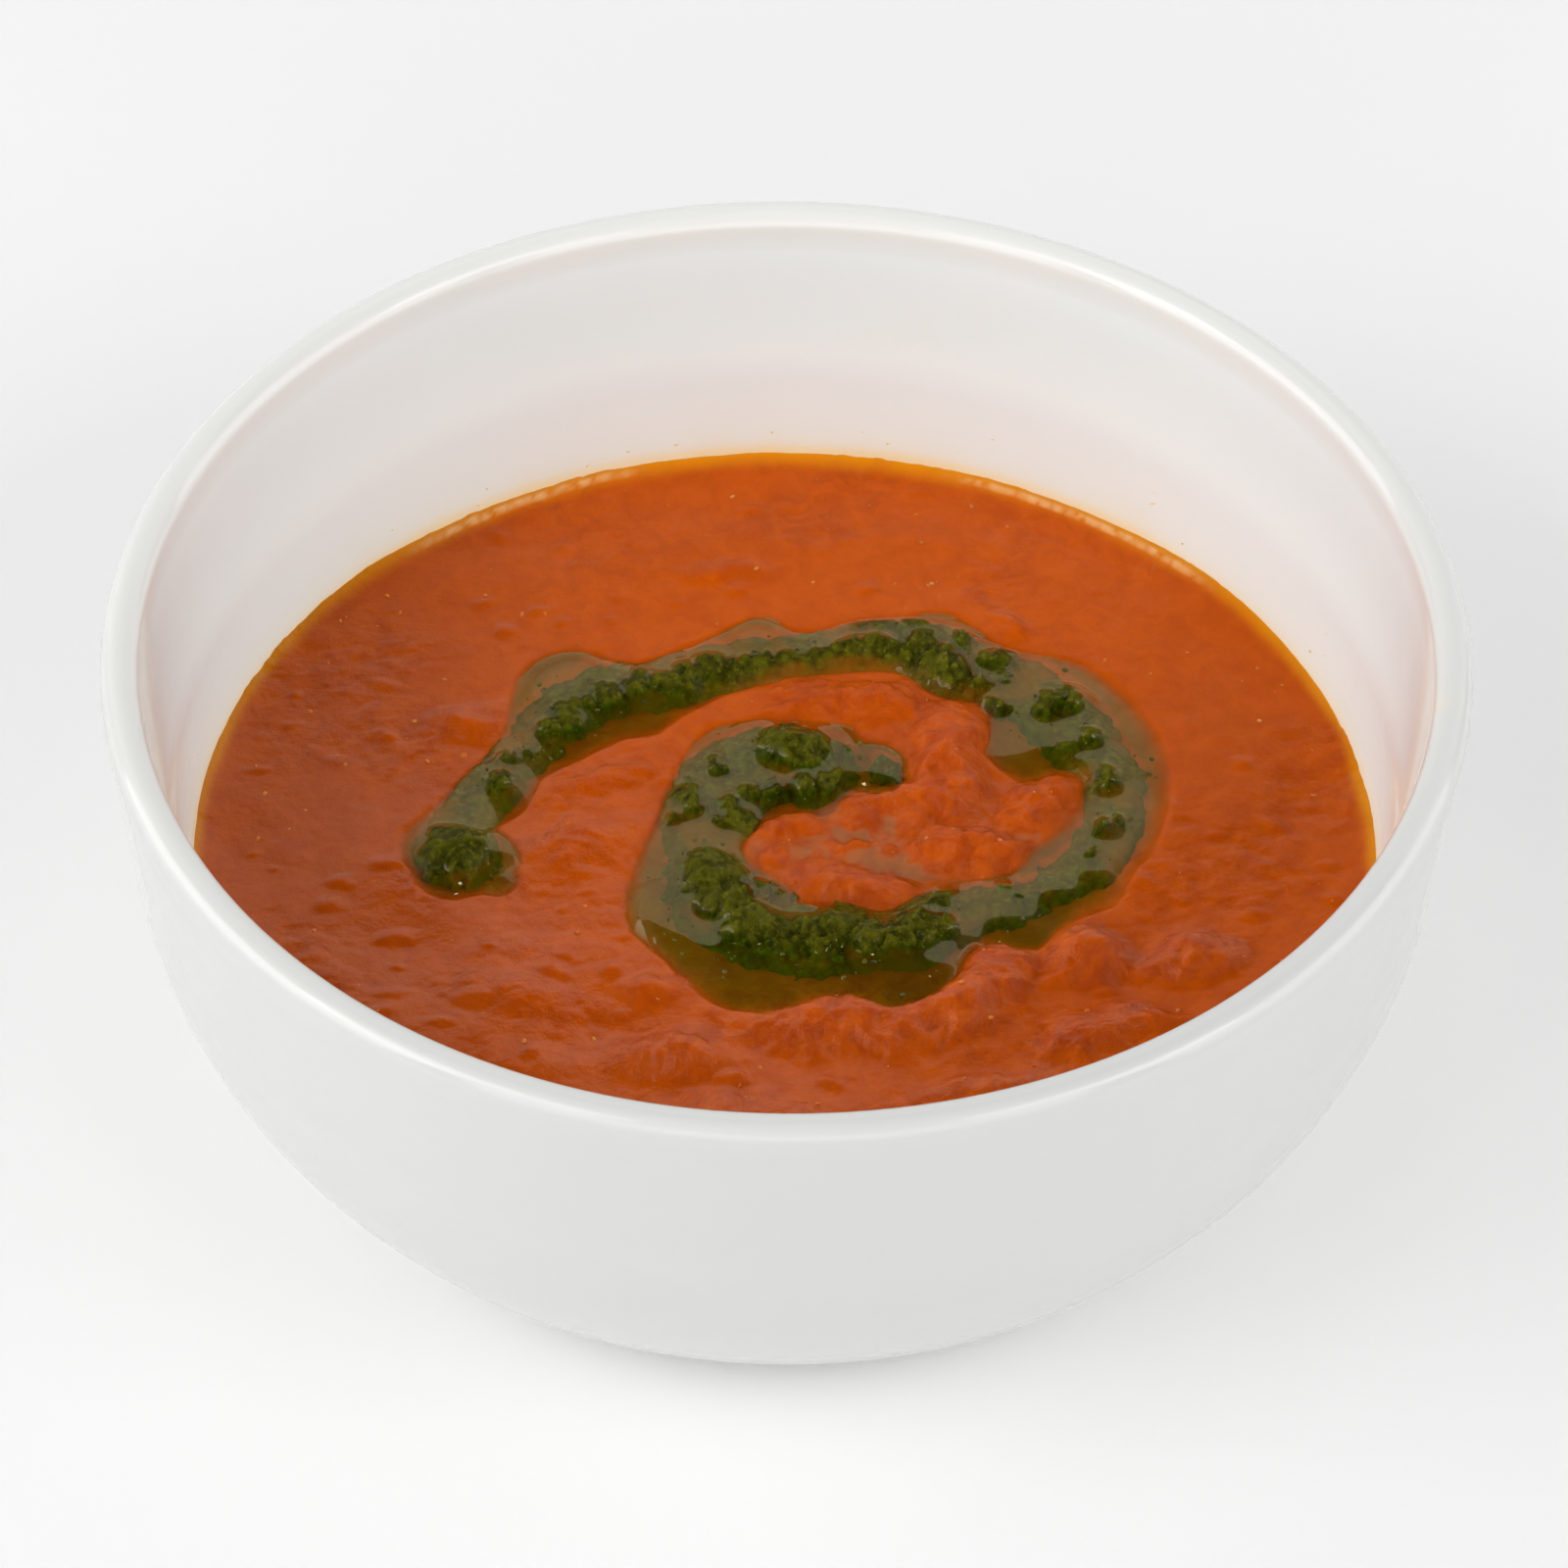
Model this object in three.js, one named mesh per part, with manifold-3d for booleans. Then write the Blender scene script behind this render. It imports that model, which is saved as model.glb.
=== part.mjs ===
// Tomato soup in a white porcelain bowl, finished with a drizzled swirl of green pesto.
// Millimetres, +Z up. The origin is the centre of the foot, on the surface the bowl stands on.
// -Y is the side of the bowl nearest the diner, +X is the diner's right.

import * as THREE from "three";
import { mergeVertices } from "three/addons/utils/BufferGeometryUtils.js";
import Module from "manifold-3d";

// ---- Driving dimensions ----

const GAP = 0.3; // left between pieces that touch

// Bowl
const RIM_DIAMETER = 160; // outside, at the middle of the rounded lip
const LIP_RADIUS = 2.25; // the lip is a full round of this radius
const LIP_HEIGHT = 62; // height of the centre of that round
const OUTER_SHOULDER = { r: 77.4, z: 39.3 }; // where the outer wall starts to curve in
const INNER_SHOULDER = { r: 72.4, z: 42 };
const FOOT_RADIUS = 49;
const FOOT_WIDTH = 5; // of the flat ring that the bowl stands on
const FOOT_DEPTH = 1.5; // how far the underside is set up inside that ring
const FLOOR_RADIUS = 39;
const FLOOR_HEIGHT = 6;
const OUTER_FULLNESS = 1.67; // exponent of the curved wall: 2 is an ellipse, less is flatter
const INNER_FULLNESS = 1.9;
const BOWL_SEGMENTS = 72;
const CURVE_STEPS = 9; // points along each curved wall
const LIP_STEPS = 6;

// Soup
const SOUP_LEVEL = 30.8; // of the calm surface
const MENISCUS = { rise: 0.8, reach: 1.6 }; // the soup's edge climbs the wall
const SOUP_RINGS = 22; // of facets across the surface
const SWELL = { height: 0.3, length: 19 }; // slow waves left by the ladle
// Mounds of pulp: centre, half-length, half-width, turn of the long side from +X, height.
const MOUNDS = {
  spiralRidge: { x: 19.5, y: 14.5, a: 11, b: 5.5, turn: 88, height: 2.4 },
  ridgeFoot: { x: 14.5, y: 6.5, a: 9, b: 5, turn: 10, height: 1.4 },
  innerBack: { x: 8, y: 24.5, a: 11, b: 4, turn: -6, height: 1.4 },
  innerRight: { x: 30, y: 6.5, a: 7, b: 4, turn: 50, height: 1.3 },
  innerFront: { x: 22, y: -2.5, a: 10, b: 4.5, turn: -6, height: 2.2 },
  innerLeft: { x: 7, y: -7.5, a: 10, b: 3.6, turn: -8, height: 1.5 },
  frontMass: { x: 9, y: -29, a: 17, b: 7.5, turn: 6, height: 2.1 },
  frontTongue: { x: 22.5, y: -24, a: 9.5, b: 6, turn: 58, height: 2.3 },
  roundLump: { x: 36, y: -19, a: 6, b: 5.6, turn: 0, height: 2.4 },
  rightLump: { x: 48, y: -19, a: 8, b: 5, turn: 12, height: 1.8 },
  rightShelf: { x: 37, y: -33, a: 10, b: 5, turn: 24, height: 1.3 },
  leftFront: { x: -13.5, y: -36, a: 8, b: 5.5, turn: 0, height: 1.2 },
  leftSmall: { x: -25, y: -1, a: 6, b: 5, turn: 0, height: 0.9 },
  farFront: { x: -5, y: -47, a: 13, b: 6, turn: -4, height: 1.1 },
};

// Pesto. The drizzle was started at the left and wound inwards: [x, y, half-width].
const SWIRL_ROUTE = [
  [-39.0, -4.4, 4.4],
  [-36.4, 5.2, 2.2],
  [-31.0, 15.6, 2.3],
  [-24.8, 23.8, 2.5],
  [-16.4, 27.9, 2.7],
  [-3.3, 30.8, 3.4],
  [8.5, 33.2, 3.7],
  [18.5, 31.0, 4.4],
  [26.5, 28.0, 3.6],
  [33.0, 20.8, 3.3],
  [37.4, 10.2, 2.7],
  [37.4, 1.0, 2.6],
  [33.6, -6.0, 2.4],
  [21.5, -10.2, 3.2],
  [15.0, -14.4, 4.8],
  [6.0, -15.6, 5.4],
  [-2.5, -13.8, 5.6],
  [-8.6, -8.4, 4.6],
  [-10.0, -0.6, 3.2],
  [-9.0, 6.0, 3.4],
  [-8.5, 11.5, 2.6],
  [-3.0, 14.4, 3.2],
  [3.0, 15.6, 3.4],
];
const SWIRL_FLATNESS = 0.6; // of the drizzle's half-height to its half-width
const SWIRL_LEAST = 1.9; // least half-height
const SWIRL_LIFT = 0.3; // middle of the drizzle above the calm soup
const SWIRL_STEP = 2.2; // between its sections
const SWIRL_SIDES = 9;
// Lumps of chopped leaf round the drizzle: share of its size, wavelength along it, turns round it.
const LUMPS = [
  { share: 0.13, length: 7.3, turns: 1 },
  { share: 0.1, length: 5.2, turns: -2 },
];
// Clumps heaped on the drizzle, and the dab that fell beside it: [x, y, radius].
const CLUMPS = [
  [-38.9, -4.2, 4.4],
  [1.2, 15.4, 4.4],
  [3.7, 9.8, 3.4],
];
const DAB = [
  [10.8, 12.4, 1.9],
  [13.0, 12.9, 1.7],
];

// ---- Looks ----

const MATERIALS = {
  porcelain: { color: 0xeeeeec, roughness: 0.15, metalness: 0 },
  tomatoSoup: { color: 0xc24a12, roughness: 0.35, metalness: 0 },
  pesto: { color: 0x33450f, roughness: 0.3, metalness: 0 },
};

// ---- Solids ----

const wasm = await Module();
wasm.setup();

/** The closed surface of a three.js geometry as a solid that can be joined and cut. */
function toSolid(geometry) {
  const bare = geometry.clone();
  bare.deleteAttribute("normal");
  bare.deleteAttribute("uv");
  const merged = mergeVertices(bare, 1e-3);
  const corners = merged.index.array;
  const faces = [];
  for (let i = 0; i < corners.length; i += 3) {
    const [a, b, c] = corners.slice(i, i + 3);
    if (a !== b && b !== c && c !== a) faces.push(a, b, c);
  }
  return new wasm.Manifold(
    new wasm.Mesh({
      numProp: 3,
      vertProperties: merged.attributes.position.array,
      triVerts: new Uint32Array(faces),
    }),
  );
}

/** A solid back as a three.js geometry. */
function toGeometry(solid) {
  const { vertProperties, triVerts } = solid.getMesh();
  const geometry = new THREE.BufferGeometry();
  geometry.setAttribute("position", new THREE.BufferAttribute(vertProperties, 3));
  geometry.setIndex(new THREE.BufferAttribute(triVerts, 1));
  geometry.computeVertexNormals();
  return geometry;
}

/** A full turn of an [r, z] profile about the Z axis. */
function turned(profile) {
  const points = profile.map(([r, z]) => new THREE.Vector2(r, z));
  return new THREE.LatheGeometry(points, BOWL_SEGMENTS).rotateX(Math.PI / 2);
}

// ---- Bowl ----

/** Points of a wall that leaves its shoulder upright and curves in to lie flat at radius `r`, height `z`. */
function curvedWall(shoulder, r, z, fullness) {
  const points = [];
  for (let i = 0; i <= CURVE_STEPS; i++) {
    const turn = ((i / CURVE_STEPS) * Math.PI) / 2;
    const out = Math.cos(turn) ** (2 / fullness);
    const down = Math.sin(turn) ** (2 / fullness);
    points.push([r + (shoulder.r - r) * out, shoulder.z - (shoulder.z - z) * down]);
  }
  return points;
}

/** The inside of the bowl from the lip's inner edge down to the edge of its flat floor. */
function innerWall() {
  const lip = [RIM_DIAMETER / 2 - 2 * LIP_RADIUS, LIP_HEIGHT];
  return [lip, ...curvedWall(INNER_SHOULDER, FLOOR_RADIUS, FLOOR_HEIGHT, INNER_FULLNESS)];
}

function makeBowl() {
  const footInside = FOOT_RADIUS - FOOT_WIDTH;
  const outerWall = curvedWall(OUTER_SHOULDER, FOOT_RADIUS, 0, OUTER_FULLNESS).reverse();
  const lip = [];
  for (let i = 0; i < LIP_STEPS; i++) {
    const turn = (i / LIP_STEPS) * Math.PI;
    const r = RIM_DIAMETER / 2 - LIP_RADIUS + LIP_RADIUS * Math.cos(turn);
    lip.push([r, LIP_HEIGHT + LIP_RADIUS * Math.sin(turn)]);
  }
  return turned([
    [0, FOOT_DEPTH],
    [footInside - FOOT_DEPTH, FOOT_DEPTH],
    [footInside, 0],
    ...outerWall,
    ...lip,
    ...innerWall(),
    [0, FLOOR_HEIGHT],
  ]);
}

// ---- Soup ----

/** Height of a mound of pulp over the calm soup at (x, y), falling smoothly to nothing at its edge. */
function moundHeight({ x: cx, y: cy, a, b, turn, height }, x, y) {
  const angle = THREE.MathUtils.degToRad(turn);
  const along = (x - cx) * Math.cos(angle) + (y - cy) * Math.sin(angle);
  const across = (y - cy) * Math.cos(angle) - (x - cx) * Math.sin(angle);
  const out = (along / a) ** 2 + (across / b) ** 2;
  return out < 1 ? height * (1 - out) ** 2 * (1 + 2 * out) : 0;
}

/** Height of the soup's surface at (x, y), with its edge at radius `edge`. */
function soupHeight(x, y, edge) {
  const fromWall = edge - Math.hypot(x, y);
  const wave = Math.sin(x / SWELL.length + 0.6) * Math.sin(y / SWELL.length - 0.4);
  let z = SOUP_LEVEL + SWELL.height * wave;
  z += MENISCUS.rise * Math.exp(-fromWall / MENISCUS.reach);
  for (const mound of Object.values(MOUNDS)) z += moundHeight(mound, x, y);
  return z;
}

/** The part of the inner wall under the soup, brought in by the gap and ending at the soup's edge. */
function soupSide() {
  const wall = innerWall().map(([r, z]) => [r - GAP, z + GAP]);
  const top = SOUP_LEVEL + MENISCUS.rise;
  const below = wall.filter(([, z]) => z < top);
  const next = wall[wall.length - below.length - 1];
  const share = (top - below[0][1]) / (next[1] - below[0][1]);
  const edge = below[0][0] + (next[0] - below[0][0]) * share;
  return { edge, points: [...below.reverse(), [edge, top]] };
}

/** The soup: its underside turned on the axis, and its surface raised to the mounds. */
function makeSoup() {
  const { edge, points } = soupSide();
  const surface = [];
  for (let i = 1; i <= SOUP_RINGS; i++) surface.push([edge * (1 - i / SOUP_RINGS), SOUP_LEVEL]);
  const geometry = turned([[0, FLOOR_HEIGHT + GAP], ...points, ...surface]);
  const position = geometry.attributes.position;
  for (let i = 0; i < position.count; i++) {
    if (position.getZ(i) < SOUP_LEVEL - 1e-3) continue;
    const x = position.getX(i);
    const y = position.getY(i);
    if (Math.hypot(x, y) < edge - 1e-3) position.setZ(i, soupHeight(x, y, edge));
  }
  return toSolid(geometry);
}

// ---- Pesto ----

/** The swirl's route, with the half-width at each point carried as z. */
function swirlRoute() {
  const points = SWIRL_ROUTE.map(([x, y, halfWidth]) => new THREE.Vector3(x, y, halfWidth));
  return new THREE.CatmullRomCurve3(points, false, "centripetal");
}

/** How far the lumps push the drizzle out at a place along it and an angle round it. */
function lumpiness(along, angle) {
  return LUMPS.reduce(
    (sum, { share, length, turns }) =>
      sum + share * Math.sin((2 * Math.PI * along) / length + turns * angle),
    1,
  );
}

/** The drizzle: a round bar bent along its route, swollen by its lumps and grown by `extra`. */
function drizzle(extra) {
  const route = swirlRoute();
  const length = route.getLength();
  const steps = Math.round(length / SWIRL_STEP);
  const bar = new THREE.CylinderGeometry(1, 1, 1, SWIRL_SIDES, steps);
  const position = bar.attributes.position;
  for (let i = 0; i < position.count; i++) {
    const [across, share, up] = [position.getX(i), position.getY(i) + 0.5, position.getZ(i)];
    const centre = route.getPointAt(share);
    const way = route.getTangentAt(share).setZ(0).normalize();
    const fromEnd = Math.min(share, 1 - share) * length;
    const halfWidth = centre.z * Math.sqrt(1 - Math.max(0, 1 - fromEnd / centre.z) ** 2);
    const halfHeight = Math.max(Math.min(SWIRL_LEAST, halfWidth), halfWidth * SWIRL_FLATNESS);
    const swell = lumpiness(share * length, Math.atan2(up, across));
    const out = across * (halfWidth * swell + extra);
    const rise = up * (halfHeight * swell + extra);
    const z = SOUP_LEVEL + SWIRL_LIFT + rise;
    position.setXYZ(i, centre.x + way.y * out, centre.y - way.x * out, z);
  }
  return toSolid(bar);
}

/** A squashed ball of pesto, grown by `extra`. */
function clump([x, y, radius], extra) {
  const halfHeight = Math.max(SWIRL_LEAST, radius * SWIRL_FLATNESS) + extra;
  const ball = new THREE.IcosahedronGeometry(1, 1).rotateZ(x);
  ball.scale(radius + extra, radius + extra, halfHeight);
  return toSolid(ball.translate(x, y, SOUP_LEVEL + SWIRL_LIFT));
}

/** Clumps joined to each other, and to `first` if there is one. */
function heaped(clumps, extra, first) {
  const balls = clumps.map((place) => clump(place, extra));
  return (first ? [first, ...balls] : balls).reduce((joined, ball) => joined.add(ball));
}

function makeSwirl(extra) {
  return heaped(CLUMPS, extra, drizzle(extra));
}

function makeDab(extra) {
  return heaped(DAB, extra);
}

// ---- The object ----

function addPiece(group, name, geometry, look) {
  const mesh = new THREE.Mesh(geometry, new THREE.MeshStandardMaterial(look));
  mesh.name = name;
  group.add(mesh);
}

const soup = makeSoup().subtract(makeSwirl(GAP)).subtract(makeDab(GAP));

const tomatoSoup = new THREE.Group();
addPiece(tomatoSoup, "bowl", makeBowl(), MATERIALS.porcelain);
addPiece(tomatoSoup, "soup", toGeometry(soup), MATERIALS.tomatoSoup);
addPiece(tomatoSoup, "pesto_swirl", toGeometry(makeSwirl(0)), MATERIALS.pesto);
addPiece(tomatoSoup, "pesto_dab", toGeometry(makeDab(0)), MATERIALS.pesto);

export default tomatoSoup;
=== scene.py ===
"""Tomato soup in a white porcelain bowl, finished with a drizzled swirl of basil pesto.

Lengths are in millimetres until a mesh is made, and MM turns them to metres.
+Z is up, -Y is the side nearest the diner and +X the diner's right.
"""

import logging
import math
from dataclasses import dataclass, field
from enum import Enum

import bpy
import numpy as np
from mathutils import Matrix, Vector
from mathutils.bvhtree import BVHTree


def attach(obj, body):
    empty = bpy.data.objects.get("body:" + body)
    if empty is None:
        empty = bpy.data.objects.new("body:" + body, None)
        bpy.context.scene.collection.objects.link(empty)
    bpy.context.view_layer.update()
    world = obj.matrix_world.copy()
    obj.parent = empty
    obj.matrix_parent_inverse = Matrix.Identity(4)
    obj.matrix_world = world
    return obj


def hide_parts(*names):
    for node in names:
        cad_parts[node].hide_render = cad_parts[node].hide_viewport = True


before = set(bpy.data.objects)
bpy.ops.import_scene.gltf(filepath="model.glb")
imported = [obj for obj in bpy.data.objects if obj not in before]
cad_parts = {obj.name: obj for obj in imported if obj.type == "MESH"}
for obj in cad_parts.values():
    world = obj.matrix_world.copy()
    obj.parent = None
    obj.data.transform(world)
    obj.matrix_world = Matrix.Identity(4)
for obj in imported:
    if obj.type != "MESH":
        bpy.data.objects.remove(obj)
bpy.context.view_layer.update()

MM = 0.001
BODY = "root"
log = logging.getLogger("tomato_soup")

Array = np.ndarray
Tree = bpy.types.NodeTree
Socket = bpy.types.NodeSocket
Span = tuple[float, float]


class Slot(Enum):
    """The record's material slots."""

    PORCELAIN = "porcelain"
    SOUP = "tomato_soup"
    PESTO = "pesto"


# ---------------------------------------------------------------------------
# Small tools
# ---------------------------------------------------------------------------


def linear(code: str) -> tuple[float, float, float, float]:
    """Turn an sRGB hex colour into the linear one that a shader takes.

    Args:
        code: Six hex digits, such as "c24a12".

    Returns:
        Red, green, blue and an alpha of 1.
    """
    parts = [int(code[i : i + 2], 16) / 255 for i in (0, 2, 4)]
    r, g, b = (p / 12.92 if p <= 0.04045 else ((p + 0.055) / 1.055) ** 2.4 for p in parts)
    return r, g, b, 1.0


def add_node(tree: Tree, kind: str, inputs: dict | None = None, **settings: object) -> bpy.types.Node:
    """Add a node with its settings, values and links.

    Args:
        tree: The node tree that gets the node.
        kind: The node's Blender type name.
        inputs: Input name or number to a value, or to the output socket it is linked from.
        **settings: The node's own properties.

    Returns:
        The new node.
    """
    node = tree.nodes.new(kind)
    for name, value in settings.items():
        setattr(node, name, value)
    for key, value in (inputs or {}).items():
        if isinstance(value, Socket):
            tree.links.new(value, node.inputs[key])
        else:
            node.inputs[key].default_value = value
    return node


def new_material(name: str) -> tuple[bpy.types.Material, Tree]:
    """Make an empty node material.

    Args:
        name: The material's name.

    Returns:
        The material and its cleared node tree.
    """
    material = bpy.data.materials.new(name)
    material.use_nodes = True
    material.node_tree.nodes.clear()
    return material, material.node_tree


def end_material(tree: Tree, shader: Socket) -> None:
    """Link a shader to the surface output of a material's tree."""
    add_node(tree, "ShaderNodeOutputMaterial", {"Surface": shader})


def close_principled(tree: Tree, inputs: dict) -> None:
    """End a material's tree with a Principled shader that has these inputs."""
    end_material(tree, add_node(tree, "ShaderNodeBsdfPrincipled", inputs).outputs["BSDF"])


def own_place(tree: Tree) -> Socket:
    """Give each point's place in the object, in metres."""
    return add_node(tree, "ShaderNodeTexCoord").outputs["Object"]


def read_value(tree: Tree, name: str) -> Socket:
    """Read the number that the mesh holds for each vertex under a name."""
    return add_node(tree, "ShaderNodeAttribute", attribute_name=name).outputs["Fac"]


def mix_colour(tree: Tree, share: Socket, first: Socket | tuple, second: Socket | tuple) -> Socket:
    """Blend two colours.

    Args:
        tree: The material's tree.
        share: 0 for the first colour, 1 for the second.
        first: A socket, or a linear colour.
        second: A socket, or a linear colour.

    Returns:
        The blended colour.
    """
    inputs = {"Factor": share, "A": first, "B": second}
    return add_node(tree, "ShaderNodeMix", inputs, data_type="RGBA").outputs["Result"]


def remap(tree: Tree, value: Socket, old: Span, new: Span = (0.0, 1.0)) -> Socket:
    """Stretch the range `old` of a value to the range `new`, and clamp what lies past it."""
    inputs = {"Value": value, "From Min": old[0], "From Max": old[1], "To Min": new[0], "To Max": new[1]}
    return add_node(tree, "ShaderNodeMapRange", inputs).outputs["Result"]


def scaled(tree: Tree, vector: Socket, by: Socket | float) -> Socket:
    """Scale a vector or a colour."""
    inputs = {0: vector, "Scale": by}
    return add_node(tree, "ShaderNodeVectorMath", inputs, operation="SCALE").outputs["Vector"]


def raised(tree: Tree, height: Socket, strength: Socket | float, distance: float) -> Socket:
    """Give the normal of a surface that a texture raises by up to `distance` mm."""
    inputs = {"Height": height, "Strength": strength, "Distance": distance * MM}
    return add_node(tree, "ShaderNodeBump", inputs).outputs["Normal"]


def smooth_step(value: Array, low: float, high: float) -> Array:
    """Ease from 0 at `low` to 1 at `high`, with level ends."""
    share = np.clip((value - low) / (high - low), 0.0, 1.0)
    return share * share * (3.0 - 2.0 * share)


@dataclass(frozen=True)
class Ripple:
    """Smooth seeded noise over the plane.

    Attributes:
        length: Size of one bump, in mm.
        seed: Picks the pattern.
        octaves: How many finer layers are added, each half as long and high.
    """

    length: float
    seed: int
    octaves: int = 1
    cells: int = 64

    def _layer(self, x: Array, y: Array, seed: int) -> Array:
        """One layer of value noise, from -1 to 1, on coordinates counted in bumps."""
        table = np.random.default_rng(seed).uniform(-1.0, 1.0, (self.cells, self.cells))
        column, row = np.floor(x).astype(int), np.floor(y).astype(int)
        u, v = x - column, y - row
        u, v = u * u * (3 - 2 * u), v * v * (3 - 2 * v)
        near, far = column % self.cells, (column + 1) % self.cells
        low, high = row % self.cells, (row + 1) % self.cells
        bottom = table[near, low] * (1 - u) + table[far, low] * u
        top = table[near, high] * (1 - u) + table[far, high] * u
        return bottom * (1 - v) + top * v

    def at(self, x: Array, y: Array) -> Array:
        """Noise at each place.

        Args:
            x: Places along X, in mm.
            y: Places along Y, in mm.

        Returns:
            Values from about -1 to 1.
        """
        total, weight, scale = np.zeros_like(x), 0.0, 1.0
        for octave in range(self.octaves):
            turn = 0.6 + 1.1 * octave
            across = (x * math.cos(turn) - y * math.sin(turn)) / (self.length * scale)
            along = (x * math.sin(turn) + y * math.cos(turn)) / (self.length * scale)
            total += scale * self._layer(across + 17.3, along + 9.1, self.seed + octave)
            weight += scale
            scale *= 0.5
        return total / weight


@dataclass(frozen=True)
class Grain:
    """Rounded lumps packed over the plane, such as chopped leaf or pulp.

    Attributes:
        size: Usual distance from lump to lump, in mm.
        seed: Picks the pattern.
    """

    size: float
    seed: int
    cells: int = 96

    def at(self, x: Array, y: Array) -> Array:
        """Height of the lumps.

        Args:
            x: Places along X, in mm.
            y: Places along Y, in mm.

        Returns:
            0 in the creases, up to about 1 on the highest lumps.
        """
        random = np.random.default_rng(self.seed)
        shift = random.uniform(0.0, 1.0, (self.cells, self.cells, 2))
        reach = random.uniform(0.55, 1.05, (self.cells, self.cells))
        rise = random.uniform(0.3, 1.0, (self.cells, self.cells))
        column, row = np.floor(x / self.size).astype(int), np.floor(y / self.size).astype(int)
        highest = np.zeros_like(x)
        for i in (-1, 0, 1):
            for j in (-1, 0, 1):
                cell = (column + i) % self.cells, (row + j) % self.cells
                away_x = x / self.size - (column + i + shift[cell][:, 0])
                away_y = y / self.size - (row + j + shift[cell][:, 1])
                inside = 1.0 - (away_x**2 + away_y**2) / reach[cell] ** 2
                highest = np.maximum(highest, rise[cell] * np.maximum(inside, 0.0) ** 0.75)
        return highest


def nearness(x: Array, y: Array, middle: Span, reach: Span) -> Array:
    """How near each place is to a middle, from 0 to 1, with a reach in mm along X and along Y."""
    return np.exp(-(((x - middle[0]) / reach[0]) ** 2) - ((y - middle[1]) / reach[1]) ** 2)


def off_line_squared(x: Array, y: Array, start: tuple, end: tuple) -> Array:
    """Squared distance in mm from each place to the straight line between two points."""
    run, rise = end[0] - start[0], end[1] - start[1]
    past_x, past_y = x - start[0], y - start[1]
    along = np.clip((past_x * run + past_y * rise) / (run**2 + rise**2), 0, 1)
    return (past_x - along * run) ** 2 + (past_y - along * rise) ** 2


def smooth_max(a: Array, b: Array, blend: float) -> Array:
    """The larger of two heights, with the crease between them rounded over `blend` mm."""
    return 0.5 * (a + b + np.sqrt((a - b) ** 2 + blend * blend))


def mesh_object(name: str, points: Array, faces: list, smooth: bool = True) -> bpy.types.Object:
    """Make an object at the origin from points in mm.

    Args:
        name: The object's name.
        points: One row of x, y, z for each vertex, in mm.
        faces: Vertex numbers of each face, counter-clockwise seen from outside.
        smooth: Whether its faces are shaded smooth.

    Returns:
        The linked object.
    """
    mesh = bpy.data.meshes.new(name)
    mesh.from_pydata((np.asarray(points) * MM).tolist(), [], faces)
    mesh.polygons.foreach_set("use_smooth", [smooth] * len(mesh.polygons))
    mesh.update()
    made = bpy.data.objects.new(name, mesh)
    bpy.context.scene.collection.objects.link(made)
    return made


def write_value(mesh: bpy.types.Mesh, name: str, values: Array) -> None:
    """Store one number for each vertex under a name that a material reads."""
    layer = mesh.attributes.new(name, "FLOAT", "POINT")
    layer.data.foreach_set("value", np.asarray(values, np.float32))


def write_colour(mesh: bpy.types.Mesh, name: str, rgb: Array) -> None:
    """Store one linear colour for each vertex under a name that a material reads."""
    layer = mesh.attributes.new(name, "FLOAT_COLOR", "POINT")
    rgba = np.concatenate([rgb, np.ones((len(rgb), 1))], axis=1)
    layer.data.foreach_set("color", rgba.astype(np.float32).ravel())


def grid_faces(rows: int, columns: int, closed: bool = False) -> list[tuple[int, ...]]:
    """Quads between neighbouring rows of a grid of vertices.

    Args:
        rows: How many rows there are.
        columns: How many vertices each row has.
        closed: Whether each row's last vertex joins its first.

    Returns:
        The quads' vertex numbers.
    """
    count = columns if closed else columns - 1
    quads = []
    for row in range(rows - 1):
        for column in range(count):
            right = (column + 1) % columns
            quad = (
                row * columns + column,
                row * columns + right,
                (row + 1) * columns + right,
                (row + 1) * columns + column,
            )
            quads.append(quad)
    return quads


def apply_modifiers(made: bpy.types.Object) -> None:
    """Turn an object's modifiers into its mesh, with instances made real."""
    graph = bpy.context.evaluated_depsgraph_get()
    mesh = bpy.data.meshes.new_from_object(made.evaluated_get(graph), depsgraph=graph)
    old = made.data
    made.modifiers.clear()
    made.data = mesh
    bpy.data.meshes.remove(old)


def relief_solid(name: str, x: Array, y: Array, top: Array, bottom: Array, keep: Array, row: int) -> tuple:
    """Make a closed solid between two heights on the kept part of a grid.

    Args:
        name: The object's name.
        x: Each grid place along X, in mm.
        y: Each grid place along Y, in mm.
        top: Upper height at each place, in mm.
        bottom: Lower height at each place, in mm.
        keep: Whether the solid covers each place.
        row: How many places a row of the grid has.

    Returns:
        The object, and the grid places whose tops are its first vertices.
    """
    quads = np.array(grid_faces(len(x) // row, row))
    quads = quads[keep[quads].all(axis=1)]
    used = np.unique(quads)
    number = np.full(len(x), -1)
    number[used] = np.arange(len(used))
    quads, count = number[quads], len(used)
    upper = np.stack([x, y, top], axis=1)[used]
    lower = np.stack([x, y, bottom], axis=1)[used]
    faces = quads.tolist() + (quads[:, ::-1] + count).tolist()
    edges = {(int(q[i]), int(q[(i + 1) % 4])) for q in quads for i in range(4)}
    faces += [(a + count, b + count, b, a) for a, b in edges if (b, a) not in edges]
    return mesh_object(name, np.concatenate([upper, lower]), faces), used


def finish_piece(made: bpy.types.Object, material: bpy.types.Material, slot: Slot, *nodes: str) -> None:
    """Dress a finished piece and give it its place in the frame.

    Args:
        made: The piece.
        material: Its finish.
        slot: The record's slot for that finish; not used.
        *nodes: The CAD nodes that it stands for.
    """
    made.data.materials.clear()
    made.data.materials.append(material)
    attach(made, BODY)
    if nodes:
        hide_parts(*nodes)
    log.info("%s: %d vertices", made.name, len(made.data.vertices))


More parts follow.
